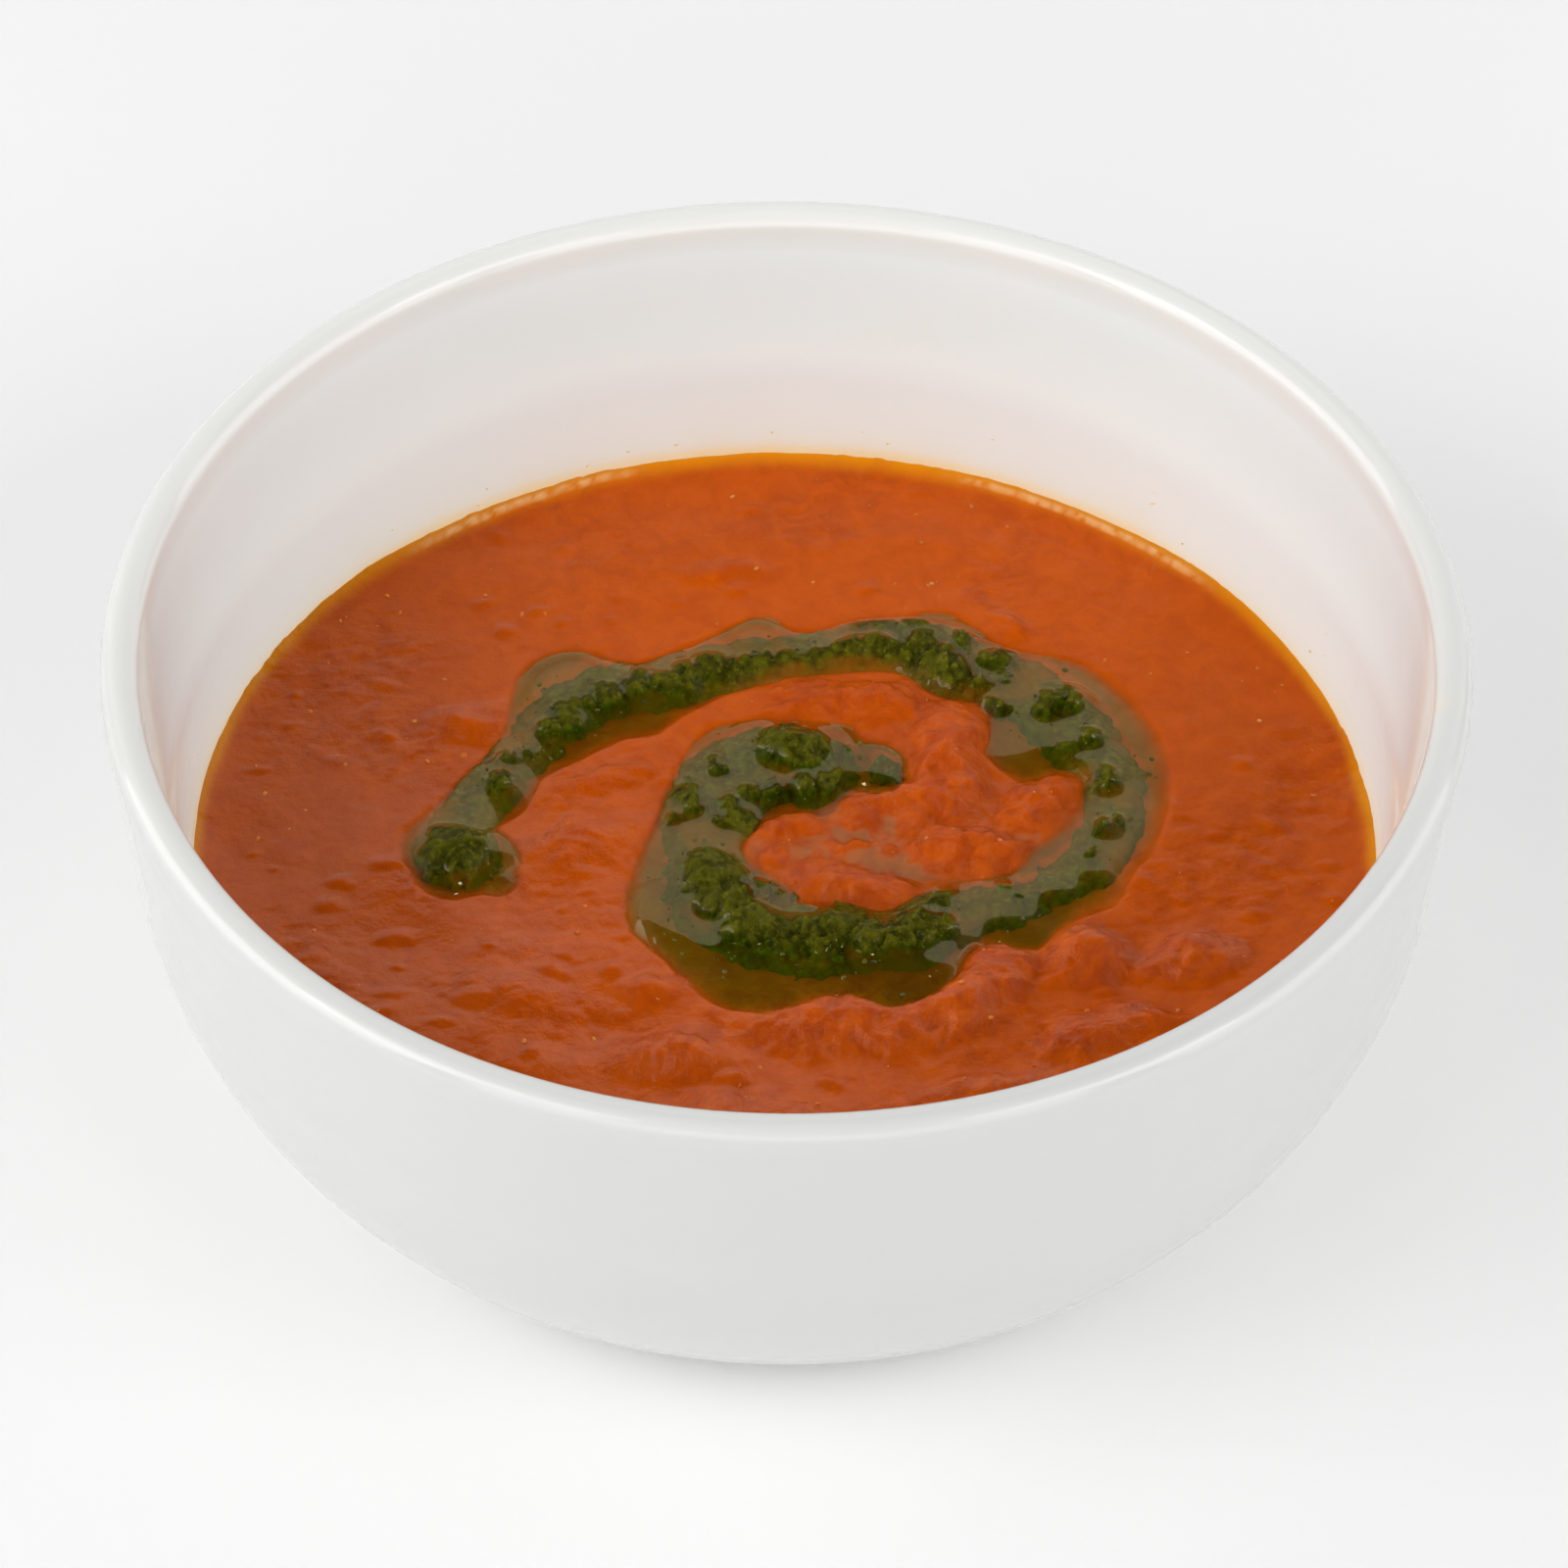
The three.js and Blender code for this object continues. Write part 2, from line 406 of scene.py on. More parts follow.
# ---------------------------------------------------------------------------
# Finishes
# ---------------------------------------------------------------------------


@dataclass(frozen=True)
class Porcelain:
    """White porcelain under a clear glaze, fired smooth: a bright, sharp gloss over soft white."""

    # Painted light and shade: the grey outside colour stands in for shade, the inside colour is lighter and
    # cooled to a faint cyan against the soup's orange glow, and the lip colour is painted light.
    outside: str = "c8c8c6"
    inside: str = "f5ffff"
    painted_lip_light: str = "f2f2ee"
    soup_film: str = "fee0a4"
    roughness: float = 0.1
    ior: float = 1.5

    def make(self) -> bpy.types.Material:
        """Build the material. It reads the mesh's `inner` and `lip` values, which share out the painted
        light, and its `film` value.
        """
        material, tree = new_material("glazed_porcelain")
        # Painted light and shade: grey outside, lighter inside and a lighter lip.
        glaze = mix_colour(tree, read_value(tree, "inner"), linear(self.outside), linear(self.inside))
        lip_painted = mix_colour(tree, read_value(tree, "lip"), glaze, linear(self.painted_lip_light))
        filmed = mix_colour(tree, read_value(tree, "film"), lip_painted, linear(self.soup_film))
        # Orange peel of a fired glaze, about 4 mm from crest to crest, which shows only in the gloss.
        place = own_place(tree)
        peel = add_node(tree, "ShaderNodeTexNoise", {"Vector": place, "Scale": 250.0, "Detail": 1.0})
        close_principled(
            tree,
            {
                "Base Color": filmed,
                "Roughness": self.roughness,
                "IOR": self.ior,
                "Normal": raised(tree, peel.outputs["Fac"], 0.03, 1.0),
            },
        )
        return material


@dataclass(frozen=True)
class CrumbFinish:
    """A small wet bit of food: one colour that varies from bit to bit, with a moist shine."""

    name: str
    dark: str
    light: str
    roughness: float = 0.22
    gloss: float = 0.4

    def make(self) -> bpy.types.Material:
        """Build the material."""
        material, tree = new_material(self.name)
        place = own_place(tree)
        shades = add_node(tree, "ShaderNodeTexNoise", {"Vector": place, "Scale": 500.0, "Detail": 2.0})
        share = remap(tree, shades.outputs["Fac"], (0.35, 0.65))
        close_principled(
            tree,
            {
                "Base Color": mix_colour(tree, share, linear(self.dark), linear(self.light)),
                "Roughness": self.roughness,
                "Specular IOR Level": self.gloss,
                "Subsurface Weight": 0.3,
                "Subsurface Radius": (0.6, 0.4, 0.15),
                "Subsurface Scale": MM,
            },
        )
        return material


@dataclass(frozen=True)
class TomatoSoupFinish:
    """Cooked tomato puree: a dense orange-red body, wet on top, golden where it lies thin on the wall."""

    body: str = "cf580a"
    deep: str = "b34408"
    thin: str = "f59a12"
    froth: str = "f8b878"
    roughness: float = 0.13
    ior: float = 1.35
    gloss_tint: str = "ffe6cc"

    def make(self) -> bpy.types.Material:
        """Build the material. It reads the mesh's `edge`, `calm`, `wet` and `froth` values, and the painted
        light that scales its colour.
        """
        material, tree = new_material("tomato_puree")
        place = own_place(tree)
        # Pulp of 2 to 5 mm, redder in its creases, plainer where the soup lies calm.
        cloud = add_node(
            tree,
            "ShaderNodeTexNoise",
            {"Vector": place, "Scale": 260.0, "Detail": 5.0, "Roughness": 0.65, "Distortion": 0.6},
        )
        contrast = remap(tree, read_value(tree, "calm"), (0.0, 1.0), (1.0, 0.35))
        spread = remap(tree, cloud.outputs["Fac"], (0.38, 0.62))
        creased = add_node(tree, "ShaderNodeMath", {0: spread, 1: contrast}, operation="MULTIPLY")
        body = mix_colour(tree, creased.outputs["Value"], linear(self.body), linear(self.deep))
        edged = mix_colour(tree, read_value(tree, "edge"), body, linear(self.thin))
        frothy = mix_colour(tree, read_value(tree, "froth"), edged, linear(self.froth))
        # Pulp of about 1 mm, finer than the mesh's own relief.
        pulp = add_node(
            tree, "ShaderNodeTexNoise", {"Vector": place, "Scale": 1100.0, "Detail": 4.0, "Roughness": 0.6}
        )
        close_principled(
            tree,
            {
                # Painted light and shade scale the colour, as the mesh gives it.
                "Base Color": scaled(tree, frothy, read_value(tree, "painted_light_tone")),
                "Roughness": self.roughness,
                "IOR": self.ior,
                "Specular IOR Level": read_value(tree, "wet"),
                "Specular Tint": linear(self.gloss_tint),
                "Subsurface Weight": 0.2,
                "Subsurface Radius": (1.2, 0.4, 0.15),
                "Subsurface Scale": MM,
                "Normal": raised(tree, pulp.outputs["Fac"], contrast, 0.3),
            },
        )
        return material


@dataclass(frozen=True)
class PestoFinish:
    """Basil chopped in olive oil: dark olive paste with brighter leaf, dull under the oil that wets it."""

    paste: str = "2e2e04"
    leaf: str = "605e0e"
    vein: str = "7e7e1c"
    over_soup: str = "94560c"
    bit_share: float = 0.35
    roughness: float = 0.14
    gloss: float = 0.06
    gloss_tint: str = "fff8a8"

    def make(self) -> bpy.types.Material:
        """Build the material. It reads the mesh's `thin`, 1 where soup shows through, and the painted light
        on the leaf's crests.
        """
        material, tree = new_material("basil_pesto")
        place = own_place(tree)
        # Chopped leaf: ragged bits of about 1 mm, each with its own shade, with painted light on the crests
        # where they stand up and painted shade in the crevices.
        flecks = add_node(
            tree, "ShaderNodeTexNoise", {"Vector": place, "Scale": 1300.0, "Detail": 5.0, "Roughness": 0.7}
        )
        ragged = add_node(
            tree,
            "ShaderNodeVectorMath",
            {0: flecks.outputs["Color"], 1: (MM, MM, MM), 2: place},
            operation="MULTIPLY_ADD",
        )
        bits = add_node(tree, "ShaderNodeTexVoronoi", {"Vector": ragged.outputs["Vector"], "Scale": 1500.0})
        shade = remap(tree, bits.outputs["Color"], (0.3, 0.7))
        lit = add_node(
            tree, "ShaderNodeMix", {"Factor": self.bit_share, "A": read_value(tree, "painted_crest_light"), "B": shade}
        )
        bit = mix_colour(tree, lit.outputs["Result"], linear(self.paste), linear(self.leaf))
        veined = mix_colour(tree, remap(tree, flecks.outputs["Fac"], (0.52, 0.75)), bit, linear(self.vein))
        lift = add_node(tree, "ShaderNodeMath", {0: shade, 1: flecks.outputs["Fac"]}, operation="ADD")
        close_principled(
            tree,
            {
                "Base Color": mix_colour(tree, read_value(tree, "thin"), veined, linear(self.over_soup)),
                "Roughness": self.roughness,
                "Specular IOR Level": self.gloss,
                "Specular Tint": linear(self.gloss_tint),
                "Normal": raised(tree, lift.outputs["Value"], 0.8, 0.3),
            },
        )
        return material


@dataclass(frozen=True)
class OilFinish:
    """Olive oil coloured by basil: a clear green filter under a mirror-smooth surface."""

    roughness: float = 0.03
    mirrored: float = 0.055
    sheen: str = "fff0c8"

    def make(self) -> bpy.types.Material:
        """Build the material. It reads the mesh's `clarity` colour and `cover`, 0 where it feathers out."""
        material, tree = new_material("basil_oil")
        clarity = add_node(tree, "ShaderNodeAttribute", attribute_name="clarity").outputs["Color"]
        clear = add_node(tree, "ShaderNodeBsdfTransparent", {"Color": clarity})
        gloss = add_node(
            tree, "ShaderNodeBsdfGlossy", {"Color": linear(self.sheen), "Roughness": self.roughness}
        )
        # Schlick's rule, which treats light from below like light from above.
        facing = add_node(tree, "ShaderNodeLayerWeight", {"Blend": 0.5}).outputs["Facing"]
        grazing = add_node(tree, "ShaderNodeMath", {0: facing, 1: 5.0}, operation="POWER").outputs["Value"]
        share = add_node(
            tree,
            "ShaderNodeMath",
            {0: grazing, 1: 1 - self.mirrored, 2: self.mirrored},
            operation="MULTIPLY_ADD",
        )
        both = add_node(
            tree,
            "ShaderNodeMixShader",
            {0: share.outputs["Value"], 1: clear.outputs["BSDF"], 2: gloss.outputs["BSDF"]},
        )
        bare = add_node(tree, "ShaderNodeBsdfTransparent")
        feathered = add_node(
            tree,
            "ShaderNodeMixShader",
            {0: read_value(tree, "cover"), 1: bare.outputs["BSDF"], 2: both.outputs["Shader"]},
        )
        end_material(tree, feathered.outputs["Shader"])
        return material


# ---------------------------------------------------------------------------
# The bowl
# ---------------------------------------------------------------------------


# Faint smears of soup on the bowl: place, reach and strength.
SMEARS = (
    (10.2, 72.6, 48.1, 2.5, 0.06),
    (16.3, 71.7, 49.3, 3.0, 0.07),
    (23.5, 70.1, 52.1, 2.5, 0.06),
    (76.3, -9.5, 62.6, 1.6, 0.35),
)


@dataclass
class Bowl:
    """The round porcelain bowl, turned on its axis."""

    rim_radius: float = 80.0
    lip_radius: float = 2.25
    lip_height: float = 62.0
    outer_shoulder: tuple[float, float] = (77.4, 39.3)
    inner_shoulder: tuple[float, float] = (72.4, 42.0)
    foot_radius: float = 49.0
    foot_width: float = 5.0
    foot_depth: float = 1.5
    floor_radius: float = 39.0
    floor_height: float = 6.0
    outer_fullness: float = 1.67
    inner_fullness: float = 1.9
    film_from: float = 28.0
    film_to: float = 40.5
    # Painted light on the glaze: the inside colour is full below the lower of these heights and fades to a
    # smaller share above the upper one; the lip has its own share, faded in over the lip's fade width.
    painted_inside_heights: Span = (40.0, 57.0)
    painted_inside_share: float = 0.55
    painted_lip_share: float = 0.64
    lip_fade: float = 1.5
    soup_level: float = 30.6
    segments: int = 192
    curve_steps: int = 28
    lip_steps: int = 16
    finish: Porcelain = field(default_factory=Porcelain)

    def curved_wall(self, shoulder: tuple[float, float], r: float, z: float, fullness: float) -> Array:
        """Points of a wall that leaves its shoulder upright and curves in to lie flat.

        Args:
            shoulder: Radius and height where it starts.
            r: Radius where it ends.
            z: Height where it ends.
            fullness: 2 is an ellipse, less is flatter.

        Returns:
            Rows of radius and height.
        """
        turn = np.linspace(0.0, math.pi / 2, self.curve_steps + 1)
        out = np.cos(turn) ** (2 / fullness)
        down = np.sin(turn) ** (2 / fullness)
        return np.stack([r + (shoulder[0] - r) * out, shoulder[1] - (shoulder[1] - z) * down], axis=1)

    def inner_wall(self) -> Array:
        """Rows of radius and height from the lip's inner edge down to the flat floor."""
        lip = [[self.rim_radius - 2 * self.lip_radius, self.lip_height]]
        curve = self.curved_wall(
            self.inner_shoulder, self.floor_radius, self.floor_height, self.inner_fullness
        )
        return np.concatenate([lip, curve])

    def inner_radius(self, height: Array | float) -> Array:
        """Radius of the inner wall at each height."""
        wall = self.inner_wall()[::-1]
        return np.interp(height, wall[:, 1], wall[:, 0])

    def profile(self) -> Array:
        """Rows of radius and height right round the section, from the underside to the floor inside."""
        foot_inside = self.foot_radius - self.foot_width
        outer = self.curved_wall(self.outer_shoulder, self.foot_radius, 0.0, self.outer_fullness)[::-1]
        straight = np.linspace(outer[-1], [self.rim_radius, self.lip_height], 8)[1:-1]
        turn = np.linspace(0.0, math.pi, self.lip_steps, endpoint=False)
        middle = self.rim_radius - self.lip_radius
        across = middle + self.lip_radius * np.cos(turn)
        up = self.lip_height + self.lip_radius * np.sin(turn)
        lip = np.stack([across, up], axis=1)
        inner = self.inner_wall()
        inner_straight = np.linspace(inner[0], inner[1], 8)[:-1]
        near_soup = inner[(inner[:, 1] > self.film_from) & (inner[:, 1] < self.film_to)]
        inner = self._finer(inner, near_soup[0], near_soup[-1])
        under = [
            [foot_inside - self.foot_depth, self.foot_depth],
            [foot_inside - 0.4, 0.15],
            [foot_inside + 0.4, 0.0],
        ]
        return np.concatenate([under, outer, straight, lip, inner_straight, inner[1:]])

    @staticmethod
    def _finer(wall: Array, upper: Array, lower: Array) -> Array:
        """Put points every half millimetre of height between two points of a wall."""
        heights = np.arange(upper[1] - 0.5, lower[1], -0.5)
        extra = np.stack([np.interp(heights, wall[::-1, 1], wall[::-1, 0]), heights], axis=1)
        kept = wall[(wall[:, 1] >= upper[1]) | (wall[:, 1] <= lower[1])]
        return np.array(sorted(np.concatenate([kept, extra]).tolist(), key=lambda point: -point[1]))

    def soup_film(self, points: Array) -> Array:
        """How much thin soup clings to the inner wall at each point, from 0 to 1."""
        turn = np.arctan2(points[:, 1], points[:, 0])
        over = points[:, 2] - self.soup_level
        around = 0.5 + 0.5 * Ripple(14.0, 91, 2).at(turn * 70.0, over * 0.3)
        streaks = 0.6 + 0.4 * Ripple(2.2, 93, 2).at(turn * 70.0, over * 0.4)
        inside = np.hypot(points[:, 0], points[:, 1]) < self.rim_radius - 2 * self.lip_radius - 0.1
        low = 0.55 * np.exp(-np.maximum(over, 0) / 0.6)
        high = (0.2 + 0.35 * around * streaks) * np.exp(-np.maximum(over, 0) / 3.5)
        film = np.where(inside & (over > -3.0), low + high, 0.0)
        for x, y, z, reach, amount in SMEARS:
            away = np.linalg.norm((points - (x, y, z)) / (reach, reach, 0.5 * reach + 0.5), axis=1)
            film = np.maximum(film, amount * np.exp(-(away**2)))
        return film

    def build(self) -> bpy.types.Object:
        """Turn the profile into the bowl and dress it."""
        profile = self.profile()
        angle = np.linspace(0.0, 2 * math.pi, self.segments, endpoint=False)
        rings = np.stack(
            [
                profile[:, :1] * np.cos(angle),
                profile[:, :1] * np.sin(angle),
                np.repeat(profile[:, 1:], self.segments, axis=1),
            ],
            axis=-1,
        ).reshape(-1, 3)
        points = np.concatenate([rings, [[0, 0, self.foot_depth], [0, 0, self.floor_height]]])
        faces = grid_faces(len(profile), self.segments, closed=True)
        last = (len(profile) - 1) * self.segments
        under, inside = len(rings), len(rings) + 1
        for i in range(self.segments):
            right = (i + 1) % self.segments
            faces.append((under, right, i))
            faces.append((inside, last + i, last + right))
        made = mesh_object("bowl_glazed", points, faces)
        self._write_painted_light(made.data, rings, profile[:, 1])
        write_value(made.data, "film", self.soup_film(points))
        finish_piece(made, self.finish.make(), Slot.PORCELAIN, "bowl")
        return made

    def _write_painted_light(self, mesh: bpy.types.Mesh, rings: Array, heights: Array) -> None:
        """Store the light and shade painted on the glaze: lighter inside the bowl, most on its lower wall,
        and lighter on its lip.

        Args:
            mesh: The bowl's mesh, whose last two vertices are the middles of its underside and floor.
            rings: All its other vertices, ring by ring, in mm.
            heights: Each ring's height, in mm.
        """
        past = np.repeat(np.arange(len(heights)) > int(np.argmax(heights)), self.segments)
        deep = smooth_step(-rings[:, 2], -self.painted_inside_heights[1], -self.painted_inside_heights[0])
        upper = smooth_step(rings[:, 2], self.lip_height + 0.5, self.lip_height + 2.0)
        near_lip = smooth_step(
            rings[:, 2], self.lip_height - self.lip_fade, self.lip_height + self.lip_fade
        )
        # Painted light: lighter towards the far side and darker towards the near side, with the lip darker
        # again on the right, most at the near right.
        far, right = rings[:, 1] / self.rim_radius, np.maximum(rings[:, 0], 0.0) / self.rim_radius
        painted_inside_high = self.painted_inside_share + 0.15 * far
        inner = (painted_inside_high + (1.0 - painted_inside_high) * deep) * (1.0 - near_lip)
        write_value(mesh, "inner", np.concatenate([np.where(past, inner, 0.0), [0, 1]]))
        lip = np.where(past, near_lip, upper) * (self.painted_lip_share + 0.26 * far - 0.1 * right * (1.0 - far))
        write_value(mesh, "lip", np.concatenate([lip, [0, 0]]))


# ---------------------------------------------------------------------------
# The soup
# ---------------------------------------------------------------------------


@dataclass(frozen=True)
class Mound:
    """A mound of pulp: centre, half-length, half-width, turn of the long side and height."""

    x: float
    y: float
    a: float
    b: float
    turn: float
    height: float

    def out(self, x: Array, y: Array) -> Array:
        """Squared distance from the centre, as a share of the mound's edge."""
        angle = math.radians(self.turn)
        along = (x - self.x) * math.cos(angle) + (y - self.y) * math.sin(angle)
        across = (y - self.y) * math.cos(angle) - (x - self.x) * math.sin(angle)
        return (along / self.a) ** 2 + (across / self.b) ** 2

    def rise(self, x: Array, y: Array) -> Array:
        """Height over the calm soup, falling to a soft crease at the edge."""
        return self.height * (1 - np.minimum(self.out(x, y), 1.0)) ** 1.5


MOUNDS = (
    Mound(19.5, 14.5, 11, 5.5, 88, 2.6),
    Mound(14.5, 6.5, 9, 4.6, 10, 1.6),
    Mound(8, 24.5, 11, 3.8, -6, 1.5),
    Mound(2, 22.5, 5, 2.6, 12, 0.8),
    Mound(30, 6.5, 7, 4, 50, 1.6),
    Mound(22, -2.5, 10, 4.5, -6, 2.3),
    Mound(7, -7.5, 10, 3.6, -8, 1.7),
    Mound(1.2, 1.8, 4.6, 3.0, 15, 1.3),
    Mound(9.5, 2.6, 4.4, 2.4, -20, 1.1),
    Mound(-1.5, -3.6, 3.4, 2.6, 40, 1.0),
    Mound(7.0, -1.6, 4.2, 1.8, 0, 0.7),
    Mound(17.0, 1.8, 3.2, 1.8, 10, 0.8),
    Mound(9, -29, 17, 7.0, 6, 2.4),
    Mound(22.5, -24, 9.5, 6, 58, 2.6),
    Mound(36, -19, 5.8, 5.4, 0, 3.2),
    Mound(48, -19, 8, 4.6, 12, 2.4),
    Mound(37, -31, 10, 4.4, 24, 1.5),
    Mound(-13.5, -36, 8, 5.0, 0, 1.4),
    Mound(-25, -1, 6, 5, 0, 1.1),
    Mound(-22, 10, 7, 3, 20, 0.7),
    Mound(-5, -47, 13, 5.4, -4, 1.3),
    Mound(24, -41, 12, 3.4, 14, 0.9),
    Mound(-30, -27, 12, 3.6, -16, 0.8),
    Mound(-38, 20, 7, 4, 10, 0.8),
    Mound(-8, 47, 8, 2.6, 0, 0.6),
    Mound(27, 37.5, 4, 1.8, -20, 0.9),
)

SMALL_LUMPS = (
    Mound(-25.8, -20.1, 1.3, 1.1, 0, 0.50),
    Mound(-20.3, -22.5, 2.0, 1.7, 0, 0.75),
    Mound(-16.0, -25.3, 4.7, 2.7, 0, 1.00),
    Mound(-34.8, -18.5, 1.1, 0.9, 0, 0.40),
    Mound(-13.3, -35.5, 4.5, 3.2, 0, 1.10),
    Mound(-26.1, -12.0, 1.1, 0.9, 0, 0.35),
    Mound(-6.1, -39.8, 2.9, 1.5, 0, 0.50),
    Mound(-43.9, -17.1, 1.2, 0.8, 0, 0.30),
    Mound(-39.4, 19.8, 3.3, 1.9, 0, 0.60),
    Mound(-31.9, 8.8, 2.4, 1.5, 0, 0.40),
    Mound(-28.6, 13.9, 2.0, 1.3, 0, 0.35),
    Mound(-23.3, -6.2, 2.6, 1.5, 0, 0.40),
    Mound(-59.8, 25.5, 0.9, 0.8, 0, 0.40),
    Mound(-56.4, 27.3, 0.7, 0.6, 0, 0.30),
    Mound(-61.8, 28.9, 0.7, 0.6, 0, 0.30),
    Mound(-30.5, 40.0, 1.6, 1.1, 0, 0.50),
    Mound(-27.4, 37.9, 1.3, 0.9, 0, 0.50),
    Mound(-21.4, 38.7, 1.2, 0.8, 0, 0.40),
    Mound(-35.2, 36.3, 1.4, 0.9, 0, 0.35),
    Mound(-13.7, 41.6, 1.3, 0.8, 0, 0.35),
    Mound(12.1, -34.0, 2.6, 1.5, 0, 0.60),
    Mound(7.0, -30.9, 2.0, 1.3, 0, 0.50),
    Mound(21.2, -31.5, 2.6, 1.7, 0, 0.60),
    Mound(27.0, -25.0, 2.0, 1.5, 0, 0.60),
    Mound(37.9, -24.8, 2.0, 1.1, 0, 0.40),
    Mound(43.6, -29.6, 3.9, 1.7, 0, 0.70),
    Mound(55.6, -11.6, 2.6, 1.3, 0, 0.50),
    Mound(57.1, -3.3, 1.6, 0.9, 0, 0.35),
    Mound(28.6, -36.9, 2.6, 1.1, 0, 0.40),
    Mound(-52.4, -8.2, 2.0, 0.9, 0, 0.30),
    Mound(-46.4, -26.1, 2.6, 1.1, 0, 0.35),
    Mound(-39.9, -30.8, 2.6, 1.1, 0, 0.35),
    Mound(44.2, -3.5, 1.7, 0.9, 0, 0.30),
    Mound(51.4, 1.6, 2.0, 0.9, 0, 0.30),
    Mound(59.9, 10.1, 1.3, 0.8, 0, 0.25),
)


# Stretches of froth along the wall: direction and half-width, in degrees, and the width they fade to.
FROTH_STRETCHES = ((119.0, 15.0), (57.0, 18.0))
FROTH_FADE = 9.0

# Small bits of pulp: how many, how far out, and least and greatest half-length, in mm.
PEBBLES = 120
PEBBLE_RADIUS = 66.0
PEBBLE_SIZES = (0.7, 1.9)


@dataclass
class SoupSurface:
    """The height of the soup at every place, shared by all that lies on it."""

    level: float = 30.8
    meniscus_rise: float = 0.8
    meniscus_reach: float = 2.2
    swell_height: float = 0.2
    swell_length: float = 19.0
    edge_radius: float = 70.3
    edge_drop: float = 0.75
    far_drop: float = 0.65
    far_side: Span = (46.0, 61.0)
    dome_reach: float = 30.0
    swirl_middle: Span = (17.0, 8.0)
    swirl_reach: Span = (13.0, 13.0)
    stir_middle: Span = (12.0, -8.0)
    stir_reach: Span = (34.0, 30.0)
    roughness: float = 1.3
    mound_fade: float = 1.6
    hollow: float = 1.25
    hollow_reach: float = 1.4
    froth_height: float = 0.2
    froth_reach: float = 1.0

    def still(self, x: Array, y: Array) -> Array:
        """Height of the soup without its mounds: highest in the middle, and drawn up the wall."""
        wave = np.sin(x / self.swell_length + 0.6) * np.sin(y / self.swell_length - 0.4)
        from_wall = np.maximum(self.edge_radius - np.hypot(x, y), 0.0)
        drop = self.edge_drop + self.far_drop * smooth_step(y, *self.far_side)
        dome = -drop * smooth_step(-from_wall, -self.dome_reach, 0.0)
        meniscus = self.meniscus_rise * np.exp(-from_wall / self.meniscus_reach)
        return self.level + self.swell_height * wave + dome + meniscus

    def bed(self, x: Array, y: Array, in_oil: Array) -> Array:
        """Height of the soup with its broad mounds, which lie flat under the oil.

        Args:
            x: Places along X, in mm.
            y: Places along Y, in mm.
            in_oil: How far inside the oil's outline each place is, in mm.

        Returns:
            Height in mm, before the oil's weight presses it down.
        """
        shift_x = x + 1.6 * Ripple(5.0, 31, 3).at(x, y)
        shift_y = y + 1.6 * Ripple(5.0, 37, 3).at(x, y)
        mounds = sum(mound.rise(shift_x, shift_y) for mound in MOUNDS)
        near_x, near_y = x + 0.4 * (shift_x - x), y + 0.4 * (shift_y - y)
        mounds += sum(lump.rise(near_x, near_y) for lump in SMALL_LUMPS + self.pebbles())
        return self.still(x, y) + mounds * (1.0 - smooth_step(in_oil, -self.mound_fade, self.mound_fade))

    @staticmethod
    def pebbles() -> tuple[Mound, ...]:
        """Small bits of pulp strewn over the soup, fewer towards the far side."""
        random = np.random.default_rng(77)
        found = []
        while len(found) < PEBBLES:
            x, y = random.uniform(-67, 67, 2)
            if math.hypot(x, y) < PEBBLE_RADIUS and random.uniform() < 0.75 - 0.5 * (y + 67) / 134:
                half = random.uniform(*PEBBLE_SIZES)
                long, turn = half * random.uniform(1.0, 1.8), random.uniform(-40, 40)
                found.append(Mound(x, y, long, half * 0.8, turn, 0.28 * half))
        return tuple(found)

    def froth(self, x: Array, y: Array) -> Array:
        """How much froth floats by the wall, from 0 to 1: on two stretches at the far side."""
        turn = np.degrees(np.arctan2(y, x))
        stretches = [
            smooth_step(-np.abs(turn - middle), -half, -FROTH_FADE) for middle, half in FROTH_STRETCHES
        ]
        from_wall = self.edge_radius - np.hypot(x, y)
        near = smooth_step(-np.abs(from_wall - self.froth_reach), -0.8, -0.15)
        return sum(stretches) * near

    def stirred(self, x: Array, y: Array) -> Array:
        """How rough the pulp is, from near 0 where the soup lies calm to 1 in the mounds."""
        near = nearness(x, y, self.stir_middle, self.stir_reach)
        on_mounds = sum(np.clip(1.3 - mound.out(x, y), 0, 1) * min(mound.height, 1.5) for mound in MOUNDS)
        patches = smooth_step(Ripple(13.0, 61, 2).at(x, y), 0.1, 0.55)
        rough = np.clip(0.12 + 0.4 * near + 0.5 * on_mounds + 0.3 * patches, 0, 1)
        return rough + 0.4 * self.in_swirl(x, y)

    def in_swirl(self, x: Array, y: Array) -> Array:
        """How near each place is to the middle of the swirl, from 0 to 1."""
        return nearness(x, y, self.swirl_middle, self.swirl_reach)

    def height(self, x: Array, y: Array, in_oil: Array) -> Array:
        """Height with the pulp, and hollowed under the oil.

        Args:
            x: Places along X, in mm.
            y: Places along Y, in mm.
            in_oil: How far inside the oil's outline each place is, in mm.

        Returns:
            The surface's height, in mm.
        """
        rough = self.stirred(x, y)
        shift_x = x + 1.0 * Ripple(2.4, 25, 2).at(x, y)
        shift_y = y + 1.0 * Ripple(2.4, 27, 2).at(x, y)
        lumps = 0.5 * Grain(3.1, 5).at(shift_x, shift_y) + 0.36 * Grain(1.5, 6).at(shift_y, shift_x)
        lumps += 0.16 * Grain(0.95, 7).at(shift_x, shift_y)
        fibres = 0.12 * Ripple(1.3, 19, 2).at(x * 0.6, y) + 0.16 * Ripple(3.6, 21, 2).at(x * 0.7, y)
        swirl_x, swirl_y = x + 3.0 * Ripple(12.0, 33, 2).at(x, y), y + 3.0 * Ripple(12.0, 35, 2).at(x, y)
        lively = 0.4 + 0.6 * smooth_step(-y, -40.0, 5.0)
